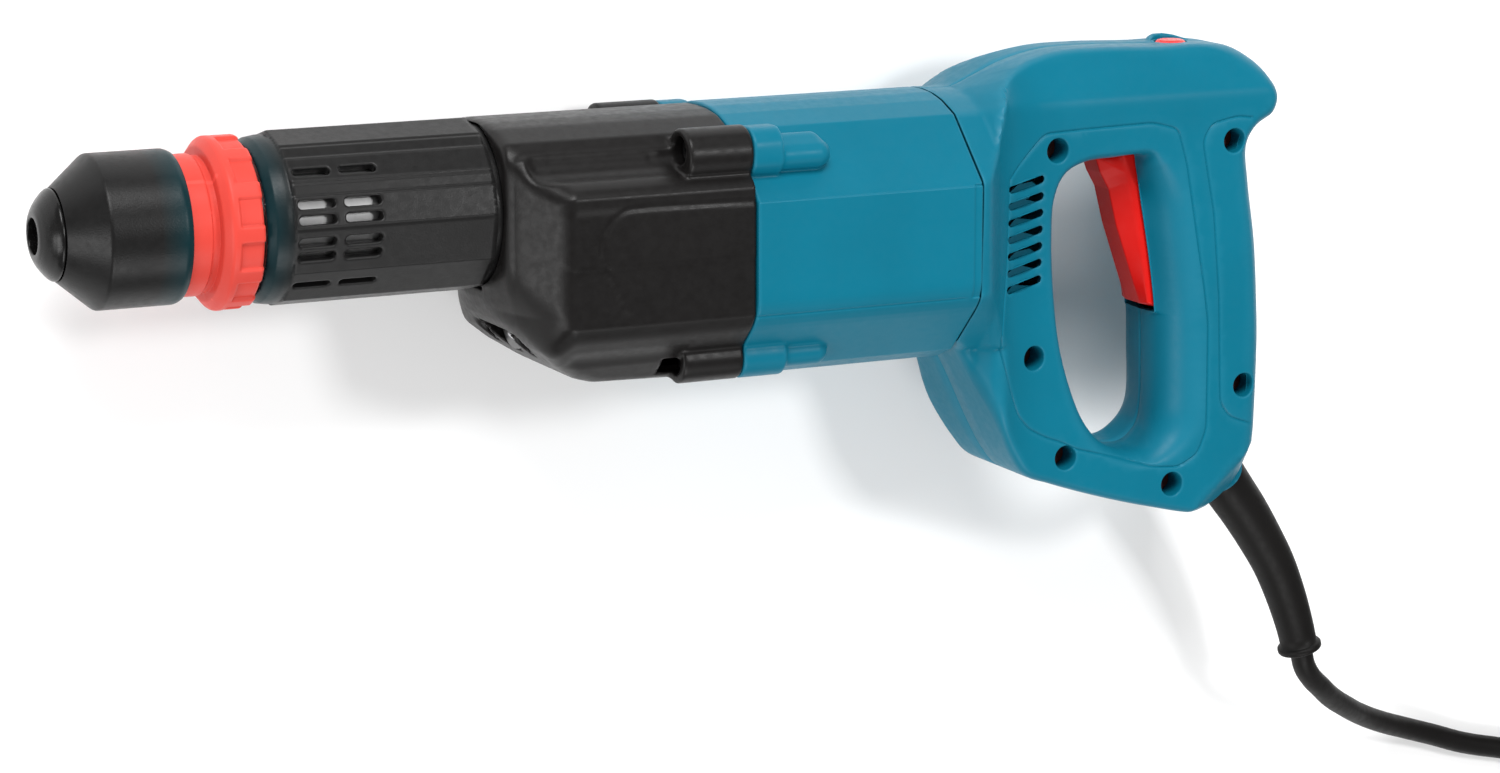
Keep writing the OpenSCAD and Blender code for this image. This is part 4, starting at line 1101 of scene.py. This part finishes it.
def handle_half(name, left):
    V, E = [], []

    def add_loop(P, closed, edges=True):
        s = len(V)
        V.extend([(float(a), float(b)) for a, b in P])
        if edges:
            n = len(P)
            E.extend([(s + i, s + i + 1) for i in range(n - 1)])
            if closed:
                E.append((s + n - 1, s))

    outline = OUTL[:, :2]
    front = np.array([(283.2, y) for y in np.linspace(-50, 25.9, 110)])[1:-1]
    loop = np.vstack([outline, front])
    add_loop(loop, True)
    hole = INL[:, :2]
    add_loop(hole, True)
    area_o = 0.5 * np.sum(loop[:, 0] * np.roll(loop[:, 1], -1) - np.roll(loop[:, 0], -1) * loop[:, 1])
    area_i = 0.5 * np.sum(hole[:, 0] * np.roll(hole[:, 1], -1) - np.roll(hole[:, 0], -1) * hole[:, 1])
    pts = []
    for t in (0.035, 0.12, 0.27, 0.48, 0.73, 1.0):
        pts.append(offset_pts(outline, t * OUTL[:, 2], False, 1 if area_o > 0 else -1))
        pts.append(offset_pts(hole, t * INL[:, 2], True, -1 if area_i > 0 else 1))
    for dx in (0.12, 0.27, 0.5):
        pts.append(front + np.array([dx, 0]))
    wells = WELLS if left else []
    for G, closed in ((G1, True), (G2, False)):
        G = np.array(split_long([tuple(p) for p in (np.vstack([G, G[:1]]) if closed else G)], 0.8))
        for o in (-0.75, -0.42, -0.2, 0, 0.2, 0.42, 0.75):
            pts.append(offset_pts(G, o, False, 1))
    for a, b in ((20, 22.3),):
        for yy in np.arange(19.4, 22.7, 0.4):
            pts.append(np.stack([np.arange(298, 400, 0.9), np.full(114, yy)], -1)[:114])
    holes2 = []
    for cx, cy in wells:
        for r in (5.0, 4.45, 4.2, 4.0, 3.86):
            m = 44
            c = [(cx + r * math.cos(2 * math.pi * k / m), cy + r * math.sin(2 * math.pi * k / m)) for k in range(m)]
            if r == 3.86:
                add_loop(c, True)
                holes2.append(c)
            else:
                pts.append(np.array(c))
    for v in VENTS:
        add_loop(v, True)
        holes2.append(v)
        c = np.mean(v, axis=0)
        pts.append((np.array(v) - c) * np.array([1.05, 1.3]) + c)
    # fill points
    g1 = np.stack(np.meshgrid(np.arange(284, 322, 0.95), np.arange(-112, 36, 0.95)), -1).reshape(-1, 2)
    g2 = np.stack(np.meshgrid(np.arange(322, 405, 1.9), np.arange(-116, 37, 1.9)), -1).reshape(-1, 2)
    g = np.vstack([g1, g2])
    g[:, 0] += 0.3 * np.sin(g[:, 1] * 7.3)
    P = np.vstack(pts + [g])
    d_in = np.maximum(poly2(loop, P[:, 0], P[:, 1]), -poly2(hole, P[:, 0], P[:, 1]))
    keep = d_in < -0.03
    for c in holes2:
        keep &= poly2(c, P[:, 0], P[:, 1]) > 0.05
    ng = len(g)
    isg = np.zeros(len(P), bool)
    isg[-ng:] = True
    do, rdo, _ = to_curve(OUTL, P[:, 0], P[:, 1], False)
    di, rdi, _ = to_curve(INL, P[:, 0], P[:, 1], True)
    far = (do > rdo + 0.5) & (di > rdi + 0.5) & (line2(G1, P[:, 0], P[:, 1], True) > 1.1) & (line2(G2, P[:, 0], P[:, 1]) > 1.1) & (P[:, 0] > 284.2)
    for cx, cy in wells:
        far &= np.hypot(P[:, 0] - cx, P[:, 1] - cy) > 5.5
    keep &= far | ~isg
    P = P[keep]
    V.extend([(float(a), float(b)) for a, b in P])
    from mathutils.geometry import delaunay_2d_cdt
    r = delaunay_2d_cdt([Vector(v) for v in V], E, [], 0, 1e-4, False)
    v2 = np.array([(p[0], p[1]) for p in r[0]])
    f2 = np.array([f for f in r[2] if len(f) == 3])
    c = v2[f2].mean(1)
    ok = np.maximum(poly2(loop, c[:, 0], c[:, 1]), -poly2(hole, c[:, 0], c[:, 1])) < 0
    for q in holes2:
        ok &= poly2(q, c[:, 0], c[:, 1]) > 0
    f2 = f2[ok]
    z, do, rdo, di, rdi = z_top(v2[:, 0], v2[:, 1], left)
    for cx, cy in wells:
        rr = np.hypot(v2[:, 0] - cx, v2[:, 1] - cy)
        t = np.clip(1 - (rr - 3.85) / 0.55, 0, 1)
        z = z - 0.55 * (1 - np.sqrt(np.maximum(1 - t * t, 0)))
    for q in VENTS:
        dv = np.abs(poly2(q, v2[:, 0], v2[:, 1]))
        t = np.clip(1 - dv / 0.35, 0, 1)
        z = z - 0.3 * t * t
    # anticlockwise faces look towards +Z
    a, b, d = v2[f2[:, 0]], v2[f2[:, 1]], v2[f2[:, 2]]
    cr = (b[:, 0] - a[:, 0]) * (d[:, 1] - a[:, 1]) - (b[:, 1] - a[:, 1]) * (d[:, 0] - a[:, 0])
    f2 = f2[np.abs(cr) > 1e-7]
    cr = cr[np.abs(cr) > 1e-7]
    f2[cr < 0] = f2[cr < 0][:, ::-1]
    verts = [tuple(q) for q in np.column_stack([v2, z]).tolist()]
    faces = [tuple(q) for q in f2.tolist()]
    # open edges
    count = {}
    for f in faces:
        for i in range(3):
            e = (f[i], f[(i + 1) % 3])
            count[e] = 1
    rim = [e for e in count if (e[1], e[0]) not in count]
    cols = {}

    def column(i):
        if i in cols:
            return cols[i]
        x, y, zt = verts[i]
        on_out, on_in = do[i] < 0.02, di[i] < 0.02
        if not (on_out or on_in):
            cols[i] = None
            return None
        zb = 0.45
        if on_in and x > 337.6 and y > -49.8 and (y > 1.2 or x > 354.0):
            zb = 8.95
        if on_out and y > 30 and abs(x - LOCK[0]) < LOCK[1]:
            zb = max(zb, math.sqrt(LOCK[1] ** 2 - (x - LOCK[0]) ** 2))
        rel = np.array([x, y]) - G_AX[0]
        t = abs(rel[0] * G_AX[1][1] - rel[1] * G_AX[1][0])
        if on_out and rel @ G_AX[1] > 0 and t < 8.45:
            zb = max(zb, math.sqrt(8.45 ** 2 - t * t))
        zb = min(zb, zt - 0.04)
        m = len(verts)
        loopv, sign = (OUTL, 1 if area_o > 0 else -1) if on_out else (INL, -1 if area_i > 0 else 1)
        k = int(np.argmin((loopv[:, 0] - x) ** 2 + (loopv[:, 1] - y) ** 2))
        nrm = loopv[(k + 1) % len(loopv), :2] - loopv[k - 1, :2]
        if on_out and k in (0, len(loopv) - 1):
            nrm = loopv[min(k + 1, len(loopv) - 1), :2] - loopv[max(k - 1, 0), :2]
        nrm = np.array([-nrm[1], nrm[0]]) / max(1e-9, np.linalg.norm(nrm)) * sign
        ids = [i]
        for q in (0.3, 0.65):
            verts.append((x, y, zt + (zb - zt) * q))
            ids.append(len(verts) - 1)
        verts.append((x, y, zb))
        ids.append(len(verts) - 1)
        if zb <= 0.46:
            verts.append((x + nrm[0] * 0.3, y + nrm[1] * 0.3, 0.06))
            ids.append(len(verts) - 1)
        cols[i] = ids
        return ids

    for a, b in rim:
        ca, cb = column(a), column(b)
        if ca is None or cb is None:
            continue
        if abs(verts[a][0] - 283.2) < 1e-4 and abs(verts[b][0] - 283.2) < 1e-4:
            continue
        for k in range(min(len(ca), len(cb)) - 1):
            faces.append((cb[k], ca[k], ca[k + 1], cb[k + 1]))
    # screw wells: straight wall, flat seat, through hole
    for cx, cy in wells:
        ring_v = [i for i in range(len(v2)) if abs(math.hypot(v2[i, 0] - cx, v2[i, 1] - cy) - 3.86) < 0.02]
        ring_v.sort(key=lambda i: math.atan2(v2[i, 1] - cy, v2[i, 0] - cx))
        prev = ring_v
        for r, zz in ((3.84, None), (3.8, 9.3), (3.76, 9.06), (3.6, 9.0), (2.25, 9.0)):
            cur = []
            for i in ring_v:
                t = math.atan2(v2[i, 1] - cy, v2[i, 0] - cx)
                verts.append((cx + r * math.cos(t), cy + r * math.sin(t), verts[i][2] - 0.5 if zz is None else zz))
                cur.append(len(verts) - 1)
            m = len(ring_v)
            for i in range(m):
                j = (i + 1) % m
                faces.append((prev[i], prev[j], cur[j], cur[i]))
            prev = cur
    if not left:
        verts = [(a, b, -c) for a, b, c in verts]
        faces = [tuple(reversed(f)) for f in faces]
    ob = new_obj(name, verts, faces, None, teal)
    md = ob.modifiers.new("wall", "SOLIDIFY")
    md.thickness = 0.0026
    vg = ob.vertex_groups.new(name="full")
    co = np.array(verts)
    near = np.zeros(len(verts), bool)
    for cx, cy in wells:
        near |= np.hypot(co[:, 0] - cx, co[:, 1] - cy) < 3.95
    vg.add([int(i) for i in np.nonzero(~near)[0]], 1.0, "REPLACE")
    vg.add([int(i) for i in np.nonzero(near)[0]], 0.0, "REPLACE")
    md.vertex_group = "full"
    md.thickness_vertex_group = 0.38
    md.offset = -1
    md.use_even_offset = False
    md.use_rim = True
    dg = bpy.context.evaluated_depsgraph_get()
    me = bpy.data.meshes.new_from_object(ob.evaluated_get(dg), depsgraph=dg)
    ob.modifiers.remove(md)
    ob.data = me
    me.name = name
    me.polygons.foreach_set("use_smooth", np.ones(len(me.polygons), bool))
    me.set_sharp_from_angle(angle=math.radians(38))
    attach(ob, "root")
    return ob


hl = handle_half("handle_shell_left", True)
hr = handle_half("handle_shell_right", False)
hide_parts("handle_left")
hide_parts("handle_right")

# raised arc beside the lock button
CR_X = [364.2, 365, 368.5, 371.4, 375.2, 378.2, 381.2, 383.5, 384]
CR_Y = [33.5, 34.9, 36.4, 37.3, 37.3, 36.8, 35.7, 34.6, 33.5]


def f_arc(x, y, z):
    r = np.sqrt((x - 374) ** 2 + z * z)
    d = smax(np.abs(r - 8.25) - 1.2, z + 2.5, 0.6)
    return smax(smax(d, (y - np.interp(x, CR_X, CR_Y)) * 0.9, 0.8), 33.5 - y, 0.3)


P, Q = nets(f_arc, steps((363.5, 384.5, 0.34)), steps((32.5, 38, 0.34)), steps((-10.5, -1.5, 0.34)))
arc = fast_obj("lock_guard_arc", P, Q, "root", teal)

# hinge pin, short enough to stay inside the rounded grip
pp = round_profile([(-10.2, 0.001), (-10.2, 1.8), (10.2, 1.8), (10.2, 0.001)], [0, 0.35, 0.35, 0], 3)
pp = split_long(pp, 0.8)
_th = np.linspace(0, 2 * np.pi, 40, endpoint=False)
_v = np.array([(366 + r * math.cos(t), -43 + r * math.sin(t), q) for q, r in pp for t in _th])
_q = [(i * 40 + j, i * 40 + (j + 1) % 40, (i + 1) * 40 + (j + 1) % 40, (i + 1) * 40 + j) for i in range(len(pp) - 1) for j in range(40)]
hinge = fast_obj("hinge_pin", _v, np.array(_q), "root", steel)
fix_normals(hinge)
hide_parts("trigger_pin")

# ---------------------------------------------------------------- trigger and lock button
T0 = [(343.3, 1.4), (345.2, -4), (348.4, -9.6), (351.5, -21.5), (357, -37), (360.8, -47.4), (365, -48.6), (369.4, -46), (369.6, -38), (367, -20), (365.4, -3), (364, 1.8), (350, 2.2)]
T1 = [(351, 1.9), (353.4, -4), (355.6, -13), (358.4, -26), (360.4, -38), (361.6, -47), (365, -48.4), (369.4, -46), (369.6, -38), (367, -20), (365.4, -3), (364, 1.8)]
T_SLOT = [(358, -4), (360, -14), (363, -28), (364.5, -36), (374, -36), (374, -4)]
T0s, T1s = shrink(T0, 0.5), shrink(T1, 0.5)


def f_trig(x, y, z):
    a = np.abs(z)
    w = np.clip((a - 4.5) / 3.75, 0, 1)
    d = (1 - w) * (poly2(T0s, x, y) - 0.5) + w * (poly2(T1s, x, y) - 0.5)
    d = smax(d * 0.85, a - 8.25, 0.8)
    sl = smax(poly2(T_SLOT, x, y), a - 6.0, 0.4)
    d = smax(d, -sl, 0.4)
    return smax(d, 1.9 - np.sqrt((x - 366) ** 2 + (y + 43) ** 2), 0.2)


P, Q = nets(f_trig, steps((342.4, 370.6, 0.36)), steps((-49.6, 3.2, 0.36)), steps((-8.9, 8.9, 0.36)))
trig = fast_obj("trigger_lever", P, Q, "trigger", red_trigger)
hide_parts("trigger")

bp = round_profile([(22, 0.001), (22, 2.4), (24.5, 2.4), (24.5, 6.4), (26.5, 6.4), (26.5, 5), (35.3, 5), (36.3, 4.0), (36.4, 0.001)], [0, .2, .2, .3, .3, .2, .5, .7, 0], 4)
bp = split_long(bp, 0.5)
btn = spin("lock_button_cap", bp, "lock", red_button, n=96, origin=(373.0, 0.0), along="y")
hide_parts("lock_button")


# ---------------------------------------------------------------- springs, each on its own copy of its mesh
def coil_spring(name, x0, x1, r, w, turns, cy, body, mat, sides=12):
    m = int(turns * 36)
    t = np.radians(10.0 * np.arange(m + 1))
    P = np.stack([x0 + (x1 - x0) * np.arange(m + 1) / m, cy + r * np.cos(t), r * np.sin(t)], -1)
    T = np.gradient(P, axis=0)
    T /= np.linalg.norm(T, axis=1)[:, None]
    A = np.stack([np.zeros(m + 1), np.cos(t), np.sin(t)], -1)
    B = np.cross(T, A)
    B /= np.linalg.norm(B, axis=1)[:, None]
    A = np.cross(B, T)
    # wire with eased ends, closed by a small disc
    P = np.vstack([P[:1], P, P[-1:]])
    A, B = np.vstack([A[:1], A, A[-1:]]), np.vstack([B[:1], B, B[-1:]])
    R = np.full(len(P), w)
    R[0] = R[-1] = 0.35 * w
    th = np.linspace(0, 2 * np.pi, sides, endpoint=False)
    V = P[:, None, :] + R[:, None, None] * (np.cos(th)[None, :, None] * A[:, None, :] + np.sin(th)[None, :, None] * B[:, None, :])
    n = len(P)
    F = [(i * sides + j, i * sides + (j + 1) % sides, (i + 1) * sides + (j + 1) % sides, (i + 1) * sides + j) for i in range(n - 1) for j in range(sides)]
    F += [tuple(range(sides)), tuple((n - 1) * sides + j for j in range(sides))]
    ob = new_obj(name, V.reshape(-1, 3), F, body, mat)
    fix_normals(ob)
    return ob


def shorten(ob):
    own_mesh(ob)


cs = coil_spring("sleeve_return_spring", 20.6, 36.8, 17.2, 0.9, 5, 0.0, "chuck", spring_steel)
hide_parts("chuck_spring")
shorten(cs)
ixs = coil_spring("ring_index_spring", 39.2, 49.2, 16.2, 0.7, 3, 0.0, "chuck", spring_steel)
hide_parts("index_spring")
shorten(ixs)
trs = coil_spring("trigger_return_spring", 363.4, 374.2, 3.0, 0.45, 4, -20.0, "root", spring_steel)
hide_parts("trigger_spring")
shorten(trs)

# ---------------------------------------------------------------- floor and light
floor_me = bpy.data.meshes.new("floor")
S = 6.0
n = 24
fv = [((i / n - 0.5) * 2 * S, (j / n - 0.5) * 2 * S, 0.0) for i in range(n + 1) for j in range(n + 1)]
ff = [(i * (n + 1) + j, (i + 1) * (n + 1) + j, (i + 1) * (n + 1) + j + 1, i * (n + 1) + j + 1) for i in range(n) for j in range(n)]
floor_me.from_pydata(fv, [], ff)
floor = bpy.data.objects.new("floor", floor_me)
scene.collection.objects.link(floor)
floor.location.z = -0.0002
fm, fnt, fb, fco = nodes_of("pale_floor")
fnt.links.new(two_tone(fnt, noise_node(fnt, fco, 3.0, 3), (0.93, 0.93, 0.93), (0.95, 0.95, 0.95)), fb.inputs["Base Color"])
fb.inputs["Roughness"].default_value = 0.9
fb.inputs["Specular IOR Level"].default_value = 0.0
floor_me.materials.append(fm)

world = bpy.data.worlds.new("studio")
scene.world = world
world.use_nodes = True
bg = world.node_tree.nodes["Background"]
bg.inputs[0].default_value = (1, 1, 1, 1)
bg.inputs[1].default_value = 0.32


def lamp(name, pos, target, size, watts, size_y=None):
    ld = bpy.data.lights.new(name, "AREA")
    ld.shape = "RECTANGLE"
    ld.size, ld.size_y = size, size_y or size
    ld.energy = watts
    lo = bpy.data.objects.new(name, ld)
    scene.collection.objects.link(lo)
    lo.location = pos
    d = Vector(target) - Vector(pos)
    lo.rotation_euler = d.to_track_quat("-Z", "Y").to_euler()
    return lo


lamp("key", (-0.25, 1.55, 1.15), (0.0, 0.0, 0.04), 1.3, 42, 0.8)
lamp("left", (-1.7, -0.35, 0.75), (0.0, 0.0, 0.04), 0.9, 15, 0.8)
lamp("low", (0.0, -1.45, 1.45), (0.05, -0.1, 0.04), 1.4, 22, 0.9)
lamp("glint", (0.70, 0.44, 1.50), (0.05, 0.0, 0.04), 0.30, 9, 0.24)
